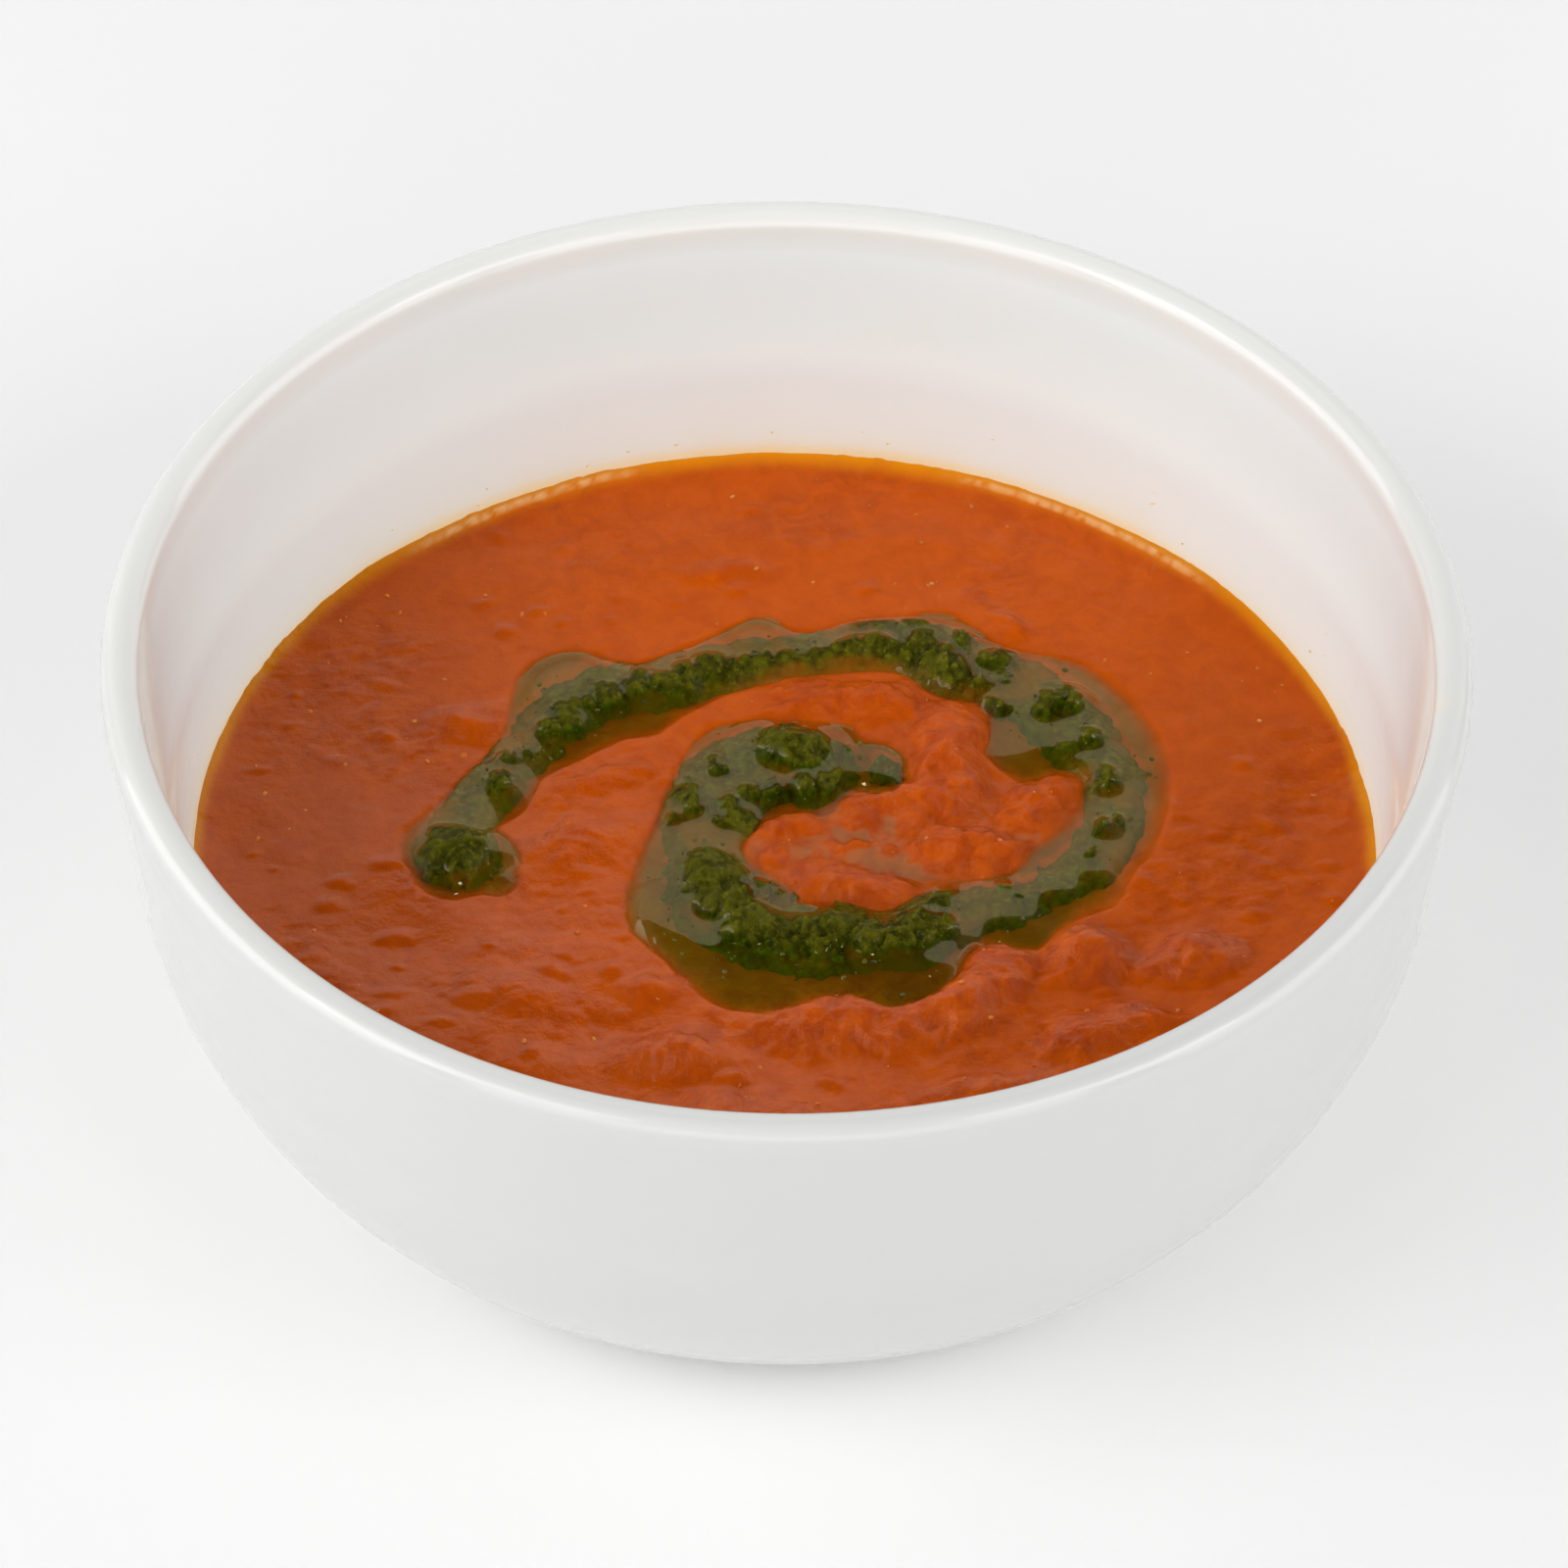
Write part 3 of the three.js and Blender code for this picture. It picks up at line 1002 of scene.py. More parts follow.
        # The waves run along the near wall.
        along_wall = swirl_y - 0.006 * swirl_x**2
        waves = 0.55 * Ripple(9.0, 15, 1).at(swirl_x * 0.8, along_wall) * lively
        waves += (0.06 + 0.1 * lively) * Ripple(3.2, 17, 3).at(swirl_x * 0.75, along_wall)
        from_wall = self.edge_radius - np.hypot(x, y)
        waves *= 0.25 + 0.75 * smooth_step(from_wall, 0.0, 7.0)
        waves += self.froth_height * self.froth(x, y) * (0.35 + 0.65 * Grain(1.5, 23).at(x, y))
        inside = np.maximum(in_oil, 0.0)
        sunk = self.hollow * (1.0 - np.exp(-inside / self.hollow_reach))
        pulp = rough * self.roughness * (lumps + fibres - 0.35)
        return self.bed(x, y, in_oil) + pulp + waves - sunk


def disc_grid(count: int, radius: float) -> tuple[Array, Array]:
    """Places that cover a disc evenly, as a square grid pulled round.

    Args:
        count: Cells along each side of the square.
        radius: The disc's radius, in mm.

    Returns:
        X and Y of the (count + 1) squared places.
    """
    side = np.linspace(-1.0, 1.0, count + 1)
    u, v = np.meshgrid(side, side, indexing="xy")
    wide = np.abs(u) > np.abs(v)
    r = np.where(wide, u, v)
    small = np.where(wide, v, u)
    with np.errstate(divide="ignore", invalid="ignore"):
        turn = np.where(r == 0, 0.0, (math.pi / 4) * small / np.where(r == 0, 1.0, r))
    x = np.where(wide, r * np.cos(turn), r * np.sin(turn))
    y = np.where(wide, r * np.sin(turn), r * np.cos(turn))
    return radius * x.ravel(), radius * y.ravel()


@dataclass
class Soup:
    """The body of the soup, from the bowl's floor to its uneven surface."""

    bowl: Bowl
    surface: SoupSurface
    oil: "OilOutline"
    cells: int = 300
    into_wall: float = 0.15
    side_heights: tuple[float, ...] = (24.0, 16.0, 9.5, 6.6)
    finish: TomatoSoupFinish = field(default_factory=TomatoSoupFinish)

    def build(self) -> bpy.types.Object:
        """Build the closed mesh: surface, side and flat underside."""
        edge = float(self.bowl.inner_radius(self.surface.level + 0.8)) + self.into_wall
        x, y = disc_grid(self.cells, edge)
        z = self.surface.height(x, y, self.oil.inside(x, y))
        row = self.cells + 1
        points = [np.stack([x, y, z], axis=1)]
        faces = grid_faces(row, row)
        rim = self._border(row)
        below = rim
        start = row * row
        for height in self.side_heights:
            radius = min(float(self.bowl.inner_radius(height)) - 0.2, edge)
            around = points[0][rim]
            share = radius / edge
            level = np.full(len(rim), height)
            points.append(np.stack([around[:, 0] * share, around[:, 1] * share, level], axis=1))
            ring = list(range(start, start + len(rim)))
            for i in range(len(rim)):
                j = (i + 1) % len(rim)
                faces.append((below[j], below[i], ring[i], ring[j]))
            below = ring
            start += len(rim)
        faces.append(tuple(below[::-1]))
        made = mesh_object("soup_surface", np.concatenate(points), faces)
        self._write_values(made.data)
        finish_piece(made, self.finish.make(), Slot.SOUP, "soup")
        return made

    @staticmethod
    def _border(row: int) -> list[int]:
        """Vertex numbers round the square grid, counter-clockwise from above."""
        last = row - 1
        bottom = [i for i in range(last)]
        right = [i * row + last for i in range(last)]
        top = [last * row + i for i in range(last, 0, -1)]
        left = [i * row for i in range(last, 0, -1)]
        return bottom + right + top + left

    def _write_values(self, mesh: bpy.types.Mesh) -> None:
        """Store what the finish reads: thin edge, painted light, wet gloss, froth and calm."""
        co = np.zeros(len(mesh.vertices) * 3, np.float32)
        mesh.vertices.foreach_get("co", co)
        co = co.reshape(-1, 3) / MM
        x, y = co[:, 0].astype(float), co[:, 1].astype(float)
        from_wall = self.surface.edge_radius - np.hypot(x, y) + 0.5 * Ripple(6.0, 81, 2).at(x, y)
        band = 1.7 + 1.6 * smooth_step(y, 20.0, 60.0)
        write_value(mesh, "edge", 1.0 - smooth_step(from_wall / band, -0.3, 1.0))
        # Painted light and shade on the soup's colour: lighter at the far and near sides, darker on the left
        # and a little on the right; on the mounds the lift is partly their paler pulp and partly painted
        # light.
        far, left = smooth_step(y, 5.0, 60.0), smooth_step(-x, 20.0, 60.0)
        raised = np.clip(sum(mound.rise(x, y) for mound in MOUNDS), 0, 2) / 2
        near = smooth_step(-y, 45.0, 62.0) * (1.0 - left)
        right = smooth_step(x, 35.0, 60.0)
        painted_light_tone = 1.0 + 0.165 * far * (1 - left) - 0.22 * left - 0.05 * right + 0.1 * raised + 0.1 * near
        write_value(mesh, "painted_light_tone", painted_light_tone)
        beside, before = smooth_step(-0.75 * x - 0.5 * y, -15.0, 40.0), smooth_step(-y, 34.0, 58.0)
        drawn = 0.3 * smooth_step(-y, 0.0, 18.0) * smooth_step(raised, 0.02, 0.3)
        drawn += 0.16 * self.surface.in_swirl(x, y)
        write_value(mesh, "wet", np.clip(0.17 + 0.38 * np.maximum(beside, before) + drawn, 0.0, 0.55))
        bubbles = np.clip(1.3 * Grain(1.1, 29).at(x, y), 0.0, 1.0)
        write_value(mesh, "froth", self.surface.froth(x, y) * bubbles)
        write_value(mesh, "calm", np.clip(1.0 - self.surface.stirred(x, y), 0.0, 1.0))


# ---------------------------------------------------------------------------
# The oil's outline
# ---------------------------------------------------------------------------

# Round the oil, counter-clockwise from the outer side of the swirl's left end.
OIL_EDGE = (
    (-45.8, 1.0), (-46.0, -3.0), (-44.2, -7.5), (-42.2, -10.2), (-39.5, -11.0), (-36.0, -10.0), (-33.0, -9.6),
    (-31.4, -7.6), (-31.6, -5.4), (-31.0, -3.8), (-32.2, -0.5), (-34.0, 2.0), (-31.4, 4.4), (-29.8, 7.6),
    (-28.6, 10.4), (-25.0, 12.8), (-22.0, 15.2), (-19.0, 17.0), (-15.6, 18.0), (-13.0, 20.4), (-10.8, 22.4),
    (-7.5, 24.8), (-3.2, 26.6), (1.0, 28.2), (6.0, 29.2), (11.5, 29.4), (15.0, 28.2), (17.0, 25.8),
    (20.0, 24.2), (22.6, 23.4), (24.0, 21.0), (23.9, 17.6), (23.6, 15.4), (25.2, 13.0), (27.4, 11.0),
    (29.6, 10.3), (32.4, 11.2), (34.6, 11.4), (35.3, 9.4), (34.6, 6.2), (33.2, 3.6), (31.2, 0.8),
    (29.2, -1.2), (27.6, -4.2), (24.0, -5.8), (20.0, -6.6), (16.6, -7.8), (14.2, -10.0), (11.6, -11.4),
    (8.6, -10.6), (5.8, -9.9), (2.8, -9.8), (0.4, -7.6), (-2.2, -5.4), (-4.2, -3.6), (-4.8, -1.2),
    (-3.4, 0.9), (-1.2, 3.2), (1.2, 4.2), (4.4, 4.2), (6.4, 5.8), (7.6, 7.8), (10.2, 8.2),
    (12.8, 7.4), (14.6, 9.6), (15.2, 12.8), (14.0, 15.6), (11.6, 17.2), (9.2, 18.0), (8.2, 20.0),
    (4.0, 20.3), (0.4, 21.0), (-3.0, 21.3), (-6.4, 20.3), (-9.4, 19.5), (-11.8, 16.4), (-13.4, 12.4),
    (-14.6, 8.0), (-15.8, 3.2), (-17.2, -0.4), (-18.3, -4.6), (-19.0, -8.8), (-19.0, -12.4), (-18.0, -16.0),
    (-14.8, -19.8), (-12.2, -23.8), (-9.2, -27.0), (-6.0, -28.8), (-2.0, -29.3), (1.2, -28.2), (4.0, -26.8),
    (7.0, -26.5), (9.6, -27.4), (12.4, -28.3), (15.6, -27.4), (18.4, -25.6), (20.8, -23.0), (21.6, -20.2),
    (23.0, -17.8), (25.6, -17.6), (28.4, -18.5), (30.8, -18.2), (32.6, -15.8), (35.4, -12.8), (38.8, -10.8),
    (40.6, -8.2), (42.0, -4.4), (44.2, -1.0), (45.6, 3.4), (46.6, 8.6), (46.5, 14.6), (45.2, 19.8),
    (43.0, 24.0), (40.2, 28.2), (36.8, 31.4), (32.6, 33.0), (28.6, 33.4), (25.6, 35.2), (23.6, 37.2),
    (21.4, 39.4), (18.0, 40.2), (14.6, 39.4), (9.6, 38.9), (6.4, 37.8), (3.4, 36.8), (0.8, 37.0),
    (-1.6, 39.0), (-5.0, 38.6), (-8.0, 36.8), (-11.0, 34.8), (-14.2, 33.0), (-18.0, 30.9), (-21.0, 31.6),
    (-25.0, 33.0), (-29.2, 32.2), (-32.6, 29.0), (-33.8, 24.6), (-34.4, 19.6), (-35.8, 15.4), (-38.6, 11.0),
    (-41.2, 7.2), (-43.6, 4.0),
)  # fmt: skip


# Round the middle of the swirl, where a thin film of oil lies in the hollows between the ridges.
FILM_EDGE = (
    (-5.5, -1.5), (-3.0, -6.0), (1.0, -8.5), (7.0, -9.5), (14.0, -9.0), (22.0, -6.5), (28.0, -4.5),
    (31.0, -1.0), (34.5, 4.0), (34.0, 8.5), (29.0, 9.5), (26.5, 8.0), (22.5, 5.5), (16.5, 5.0),
    (15.5, 9.0), (14.5, 13.5),
    (11.5, 16.0), (7.5, 14.0), (5.0, 6.5), (-1.0, 3.5),
)  # fmt: skip


def smooth_loop(points: tuple, parts: int) -> Array:
    """Round off a closed outline with a uniform Catmull-Rom curve.

    Args:
        points: Rows of x and y, in mm.
        parts: How many samples each stretch gets.

    Returns:
        Rows of x and y.
    """
    b = np.asarray(points, float)
    a, c, d = np.roll(b, 1, 0), np.roll(b, -1, 0), np.roll(b, -2, 0)
    rows = []
    for t in np.arange(parts) / parts:
        rows.append(
            0.5 * (2 * b + (c - a) * t + (2 * a - 5 * b + 4 * c - d) * t**2 + (3 * b - a - 3 * c + d) * t**3)
        )
    return np.stack(rows, axis=1).reshape(-1, 2)


@dataclass
class OilOutline:
    """The edge of the oil that ran out of the pesto."""

    edge: tuple = OIL_EDGE
    parts: int = 4
    far: float = 12.0

    def inside(self, x: Array, y: Array) -> Array:
        """How far inside the edge each place is.

        Args:
            x: Places along X, in mm.
            y: Places along Y, in mm.

        Returns:
            Distance to the edge in mm, negative outside, no less than minus `far`.
        """
        loop = smooth_loop(self.edge, self.parts)
        found = np.full(x.shape, -self.far)
        low, high = loop.min(axis=0) - self.far, loop.max(axis=0) + self.far
        near = (x > low[0]) & (x < high[0]) & (y > low[1]) & (y < high[1])
        px, py = x[near], y[near]
        nearest, within = np.full(px.shape, self.far**2), np.zeros(px.shape, bool)
        for (ax, ay), (bx, by) in zip(loop, np.roll(loop, -1, 0)):
            nearest = np.minimum(nearest, off_line_squared(px, py, (ax, ay), (bx, by)))
            if ay != by:
                within ^= ((ay > py) != (by > py)) & (px < (bx - ax) * (py - ay) / (by - ay) + ax)
        found[near] = np.where(within, 1, -1) * np.sqrt(nearest)
        return found


# ---------------------------------------------------------------------------
# The pesto
# ---------------------------------------------------------------------------

# The thin paste: x, y and half-width along the drizzle, in mm.
SHEET = (
    (-38.9, -2.6, 4.0), (-39.4, 1.5, 3.2), (-37.4, 6.2, 2.4), (-34.4, 11.5, 2.7), (-31.0, 17.0, 2.6),
    (-27.2, 22.2, 2.9), (-21.5, 26.5, 3.3), (-14.5, 28.6, 3.6), (-6.0, 30.4, 3.9), (3.0, 32.4, 3.8),
    (11.5, 33.8, 4.6), (18.0, 32.2, 5.2), (23.5, 29.6, 4.4), (28.5, 27.0, 3.8), (33.0, 22.8, 3.4),
    (36.5, 17.0, 2.9), (38.6, 11.0, 2.8), (38.8, 5.0, 2.9), (37.6, 0.0, 2.6), (35.2, -3.8, 2.0),
    (31.2, -7.2, 1.9), (26.5, -9.2, 2.1), (21.5, -10.6, 2.6), (16.0, -13.2, 4.0), (9.0, -15.0, 4.4),
    (1.0, -15.6, 4.6), (-5.0, -13.4, 4.4), (-8.0, -7.5, 3.6), (-8.6, -1.5, 3.2), (-8.8, 4.0, 4.8),
    (-7.5, 10.0, 5.0), (-4.0, 14.5, 4.2), (1.0, 15.5, 4.2), (3.5, 11.5, 3.6),
)  # fmt: skip

# Clumps that stand out of it: x, y, half-length, half-width, turn and height over the soup.
SWIRL_CLUMPS = (
    (-39.2, -4.4, 4.2, 4.0, 0, 2.1), (-40.6, -0.6, 1.8, 1.4, 0, 1.6), (-34.2, 8.8, 2.2, 1.4, 20, 1.3),
    (-33.8, 12.3, 1.6, 1.2, 30, 1.1), (-31.2, 14.2, 0.9, 0.9, 0, 1.0), (-28.6, 18.1, 1.6, 1.5, 30, 1.5),
    (-26.9, 19.3, 2.3, 1.8, 40, 1.6), (-26.6, 21.3, 2.6, 1.7, 10, 1.7), (-24.2, 22.4, 1.6, 1.4, 0, 1.6),
    (-21.8, 23.6, 2.2, 2.0, 20, 1.7), (-18.3, 25.2, 2.4, 1.7, 10, 1.8), (-18.0, 27.0, 2.0, 1.2, 0, 1.4),
    (-14.5, 26.1, 2.4, 1.6, 10, 1.7), (-12.2, 27.2, 2.2, 2.2, 30, 1.9), (-9.0, 28.8, 2.6, 2.3, 20, 2.0),
    (-5.5, 28.2, 2.5, 2.2, 0, 1.8), (-3.0, 29.8, 2.6, 1.9, 0, 1.7), (0.5, 29.8, 2.6, 1.7, 0, 1.6),
    (4.0, 30.5, 2.2, 1.8, 0, 1.7), (7.5, 31.8, 3.0, 1.9, 5, 2.0), (12.0, 31.6, 3.4, 2.3, -20, 2.2),
    (16.5, 32.5, 2.4, 2.2, 0, 1.9), (18.5, 29.5, 2.3, 3.0, 0, 2.0), (20.6, 28.3, 2.0, 2.6, 0, 2.0),
    (21.5, 33.6, 1.7, 1.2, -30, 1.7), (25.2, 30.4, 2.3, 1.5, -10, 1.8), (27.0, 32.0, 1.2, 1.0, 0, 1.3),
    (16.0, 36.8, 3.2, 1.2, -8, 1.0), (10.0, 37.0, 3.5, 1.4, 5, 0.9), (25.0, 23.2, 1.3, 0.9, 0, 1.2),
    (23.4, 26.4, 1.8, 1.2, 20, 1.2), (27.2, 27.2, 1.4, 0.9, 0, 1.1),
    (31.5, 22.8, 1.5, 2.0, 10, 2.2), (34.8, 22.9, 1.5, 1.3, 0, 2.1), (33.5, 24.3, 2.2, 1.0, 0, 1.6),
    (36.9, 16.8, 1.5, 0.9, 20, 2.0), (34.0, 15.8, 1.5, 0.6, 0, 1.2), (38.2, 10.6, 1.1, 1.6, 0, 2.1),
    (39.2, 9.2, 1.0, 0.8, 0, 1.8), (37.3, 9.4, 0.9, 0.9, 0, 1.4), (37.5, 1.7, 1.2, 0.6, 40, 1.6),
    (40.2, 2.8, 0.7, 0.6, 0, 1.5), (36.4, -2.8, 0.7, 0.6, 0, 1.2), (29.5, -9.0, 0.9, 0.7, 0, 0.8),
    (27.6, -10.0, 1.2, 0.7, 0, 1.0), (26.5, -8.6, 1.4, 0.6, 0, 0.7), (16.8, -10.6, 3.1, 1.6, 10, 2.0),
    (18.5, -11.5, 1.6, 1.3, 0, 1.7), (13.8, -12.0, 1.2, 0.8, 30, 1.4), (7.8, -12.0, 1.6, 2.2, 0, 2.1),
    (-8.6, -8.0, 4.0, 4.2, 0, 3.0), (-7.8, -5.2, 2.4, 1.6, 0, 1.8), (-9.0, -12.0, 2.2, 2.6, 20, 2.4),
    (-5.8, -12.5, 2.6, 3.2, -20, 2.4), (-4.0, -15.0, 3.0, 2.2, 0, 2.5), (-1.5, -16.8, 3.2, 2.6, 0, 2.5),
    (-5.2, -16.2, 2.6, 2.2, 0, 2.1), (-1.5, -17.8, 3.2, 2.2, 0, 1.9), (2.3, -17.2, 2.2, 2.7, 0, 2.3),
    (6.0, -16.4, 2.8, 2.8, 0, 2.6), (8.2, -14.5, 1.8, 2.4, 0, 2.4), (5.5, -18.2, 2.8, 2.0, 0, 1.7),
    (9.8, -17.4, 2.4, 2.6, 0, 2.3), (13.5, -17.0, 2.6, 2.2, 0, 2.3), (16.2, -15.2, 3.0, 1.9, -5, 2.4),
    (19.0, -15.4, 1.7, 1.7, 0, 2.0), (16.4, -17.0, 2.4, 1.3, 20, 1.6), (12.0, -18.4, 2.4, 1.3, 0, 1.4),
    (-1.3, -8.3, 0.7, 1.1, 0, 1.4), (1.7, -9.1, 0.6, 0.8, 0, 1.1), (-3.0, -8.8, 0.8, 0.6, 0, 1.2),
    (-0.3, -9.8, 1.0, 0.6, 0, 1.1), (0.8, 14.4, 4.6, 3.3, -10, 3.2), (-1.5, 15.4, 2.4, 1.8, -10, 2.4),
    (2.2, 12.5, 2.6, 1.8, 10, 2.3), (0.5, 17.6, 2.2, 1.4, 0, 1.8), (0.0, 19.1, 1.4, 0.6, 10, 1.2),
    (7.2, 14.3, 1.0, 0.7, -20, 1.2), (-1.6, 12.4, 0.7, 0.6, 0, 1.2), (-4.0, 13.8, 0.7, 0.5, 0, 1.0),
    (-8.0, 11.2, 1.3, 1.4, 0, 1.7), (-8.6, 12.4, 0.6, 0.9, 0, 1.4), (-12.0, 6.2, 1.5, 1.7, 0, 1.8),
    (-11.0, 4.6, 1.4, 1.0, 30, 1.5), (-4.8, 6.7, 1.6, 1.1, 10, 1.7), (-2.0, 7.2, 1.8, 0.6, 15, 1.3),
    (-6.6, 4.4, 1.7, 1.5, 0, 1.9), (-5.5, 2.6, 2.2, 1.5, 20, 1.8), (-7.5, 1.7, 1.4, 0.8, 0, 1.4),
    (-13.8, 2.5, 0.7, 0.7, 0, 1.1), (-12.6, 2.4, 0.5, 0.5, 0, 1.0), (2.0, 8.6, 1.5, 1.2, 0, 2.0),
    (5.0, 9.4, 1.6, 1.1, 10, 2.1), (-1.8, 9.2, 1.0, 0.7, 0, 1.2), (-11.7, 9.0, 0.6, 0.5, 0, 1.0),
    (-9.3, -1.5, 0.5, 0.5, 0, 1.0),
)  # fmt: skip

# The same for the small clump that lies apart.
DAB_CLUMPS = (
    (12.2, 13.3, 1.4, 0.7, 0, 0.7), (10.6, 12.2, 0.6, 0.4, 0, 0.7), (12.8, 11.0, 1.1, 0.5, 0, 0.7),
    (13.4, 12.2, 0.6, 0.4, 0, 0.6), (12.0, 12.2, 1.7, 1.3, 0, 0.15),
)  # fmt: skip


def smooth_route(points: tuple, step: float) -> Array:
    """Follow a centripetal Catmull-Rom curve through given points.

    Args:
        points: Rows of x, y and half-width, in mm.
        step: About how far apart the samples are, in mm.

    Returns:
        Rows of x, y and half-width along the curve.
    """
    p = np.asarray(points, float)
    p = np.concatenate([[2 * p[0] - p[1]], p, [2 * p[-1] - p[-2]]])
    rows = []
    for i in range(1, len(p) - 2):
        a, b, c, d = p[i - 1 : i + 3]
        knots = np.cumsum([0.0] + [np.linalg.norm(q - o) ** 0.5 for o, q in ((a, b), (b, c), (c, d))])
        count = max(2, round(float(np.linalg.norm(c - b)) / step))
        for t in np.linspace(knots[1], knots[2], count, endpoint=False):
            ab = (knots[1] - t) / knots[1] * a + t / knots[1] * b
            bc = ((knots[2] - t) * b + (t - knots[1]) * c) / (knots[2] - knots[1])
            cd = ((knots[3] - t) * c + (t - knots[2]) * d) / (knots[3] - knots[2])
            abc = ((knots[2] - t) * ab + t * bc) / knots[2]
            bcd = ((knots[3] - t) * bc + (t - knots[1]) * cd) / (knots[3] - knots[1])
            rows.append(((knots[2] - t) * abc + (t - knots[1]) * bcd) / (knots[2] - knots[1]))
    return np.array(rows + [p[-2]])


def grid_over(low: tuple[float, float], high: tuple[float, float], step: float) -> tuple[Array, Array, int]:
    """Places on an even grid over a rectangle.

    Args:
        low: Least x and y, in mm.
        high: Greatest x and y, in mm.
        step: Distance between places, in mm.

    Returns:
        X and Y of each place, and how many places a row has.
    """
    xs, ys = np.arange(low[0], high[0], step), np.arange(low[1], high[1], step)
    x, y = np.meshgrid(xs, ys, indexing="xy")
    return x.ravel(), y.ravel(), len(xs)


@dataclass
class Pesto:
    """Chopped basil paste: a thin lumpy sheet with clumps standing out of it."""

    surface: SoupSurface
    oil: OilOutline
    sheet: tuple
    clumps: tuple
    sheet_height: float = 0.35
    sheet_grain: float = 0.3
    edge_reach: float = 1.1
    fall: float = 0.6
    lean: float = 0.3
    clump_rise: float = 1.12
    shore_height: float = -0.15
    shore_slope: float = 0.65
    step: float = 0.2
    sink: float = 1.6
    finish: PestoFinish = field(default_factory=PestoFinish)

    @staticmethod
    def grains(x: Array, y: Array) -> tuple[Array, Array, Array]:
        """Ragged coordinates, and the relief of the chopped leaf on them in mm."""
        shift_x = x + 0.9 * Ripple(1.6, 45, 2).at(x, y)
        shift_y = y + 0.9 * Ripple(1.6, 47, 2).at(x, y)
        grains = 0.55 * Grain(1.9, 51).at(shift_x, shift_y) + 0.35 * Grain(0.8, 52).at(shift_y, shift_x)
        grains += 0.9 * np.abs(Ripple(1.3, 57, 2).at(x, y)) - 0.62
        return shift_x, shift_y, grains

    def rise(self, x: Array, y: Array) -> Array:
        """Height over the soup's level of the paste, far below it where there is none.

        Args:
            x: Places along X, in mm.
            y: Places along Y, in mm.

        Returns:
            Height in mm.
        """
        inside = np.full(x.shape, -9.0)
        for px, py, half in smooth_route(self.sheet, 1.5) if self.sheet else ():
            inside = np.maximum(inside, half - np.hypot(x - px, y - py))
        inside += 0.9 * Ripple(3.0, 41, 2).at(x, y) + 0.4 * Ripple(1.1, 42, 1).at(x, y)
        flat = self.sheet_height * (1 - np.exp(-inside / self.edge_reach))
        bed = np.where(inside > 0, flat, inside * self.fall)
        bed += 0.25 * Ripple(4.0, 43, 3).at(x, y) + self.sheet_grain * (Grain(1.1, 53).at(x, y) - 0.4)
        shift_x, shift_y, grains = self.grains(x, y)
        for cx, cy, a, b, turn, top in self.clumps:
            out = Mound(cx, cy, a * 1.06, b * 1.06, turn, top).out(shift_x, shift_y)
            full = self.clump_rise * top + 0.55
            dome = np.where(out < 1, full * np.maximum(1 - out, 0) ** 0.5 - 0.4, -0.4 - 1.5 * (out - 1))
            bed = smooth_max(bed, dome + self.lean * (shift_y - cy) + grains, 0.2)
        return np.minimum(bed, self.shore_height + self.shore_slope * self.oil.inside(x, y))

    def build(self, name: str, node: str) -> bpy.types.Object:
        """Build the paste and dress it.

        Args:
            name: The piece's name.
            node: The CAD node that it stands for.

        Returns:
            The piece.
        """
        spots = np.array([c[:2] for c in self.clumps])
        x, y, row = grid_over(tuple(spots.min(axis=0) - 7), tuple(spots.max(axis=0) + 7), self.step)
        rise = self.rise(x, y)
        level = self.surface.bed(x, y, self.oil.inside(x, y))
        bottom = level - self.sink - 0.4
        made, used = relief_solid(name, x, y, level + rise, bottom, rise > -self.sink, row)
        patches = smooth_step(Ripple(5.0, 55, 3).at(x, y), -0.15, 0.45)
        foot = 0.45 * (1.0 - smooth_step(rise, -0.3, 0.9))
        thin = np.clip(0.62 * patches * (1.0 - smooth_step(rise, 0.7, 1.3)) + foot, 0.0, 1.0)[used]
        # Painted light and shade: 1 on the leaf's crests, 0 in the crevices between them.
        painted_crest_light = smooth_step(self.grains(x, y)[2], -0.3, 0.4)[used]
        write_value(made.data, "thin", np.concatenate([thin, thin]))
        write_value(made.data, "painted_crest_light", np.concatenate([painted_crest_light, painted_crest_light]))
        finish_piece(made, self.finish.make(), Slot.PESTO, node)
        return made


# ---------------------------------------------------------------------------
# The oil
# ---------------------------------------------------------------------------


# Where the oil lies level almost to its edge: x, y and radius, in mm.
LEVEL_OIL = (
    (12.0, 11.5, 6.5), (-12.5, -13.0, 6.5), (-9.5, -16.8, 4.2), (20.0, -19.2, 5.4), (-33.5, -2.0, 4.0),
    (-4.0, 19.0, 4.0), (4.5, 18.5, 4.0), (-27.0, 28.5, 6.0), (-4.0, 36.0, 4.0), (36.0, 12.0, 3.6),
    (3.0, -12.0, 2.6), (-8.5, -1.0, 4.0), (-3.0, 32.5, 3.4), (37.2, -4.9, 3.3), (32.0, -8.4, 2.8),
)  # fmt: skip

# Lines where the oil's skin is creased near its far edges.
OIL_CREASES = (
    ((4.0, 37.0), (8.0, 38.3), (14.0, 38.9), (20.0, 38.0), (24.0, 36.0)),
    ((-5.0, 38.4), (-3.0, 38.9), (-1.0, 38.5)),
    ((16.0, 39.6), (20.0, 39.5)),
    ((24.0, 34.4), (28.0, 33.0), (33.0, 31.6)),
    ((1.0, 20.2), (8.0, 19.6)),
    ((-8.0, 19.6), (-6.0, 20.2)),
    ((32.0, 26.0), (35.5, 25.6), (37.5, 24.0)),
)


# Where the oil's edge is extra soft: middle and reach, in mm.
SOFT_PLACES = (
    ((-45.5, 0.0), (5.477, 5.477)),
    ((-18.5, -5.0), (3.5, 8.0)),
)


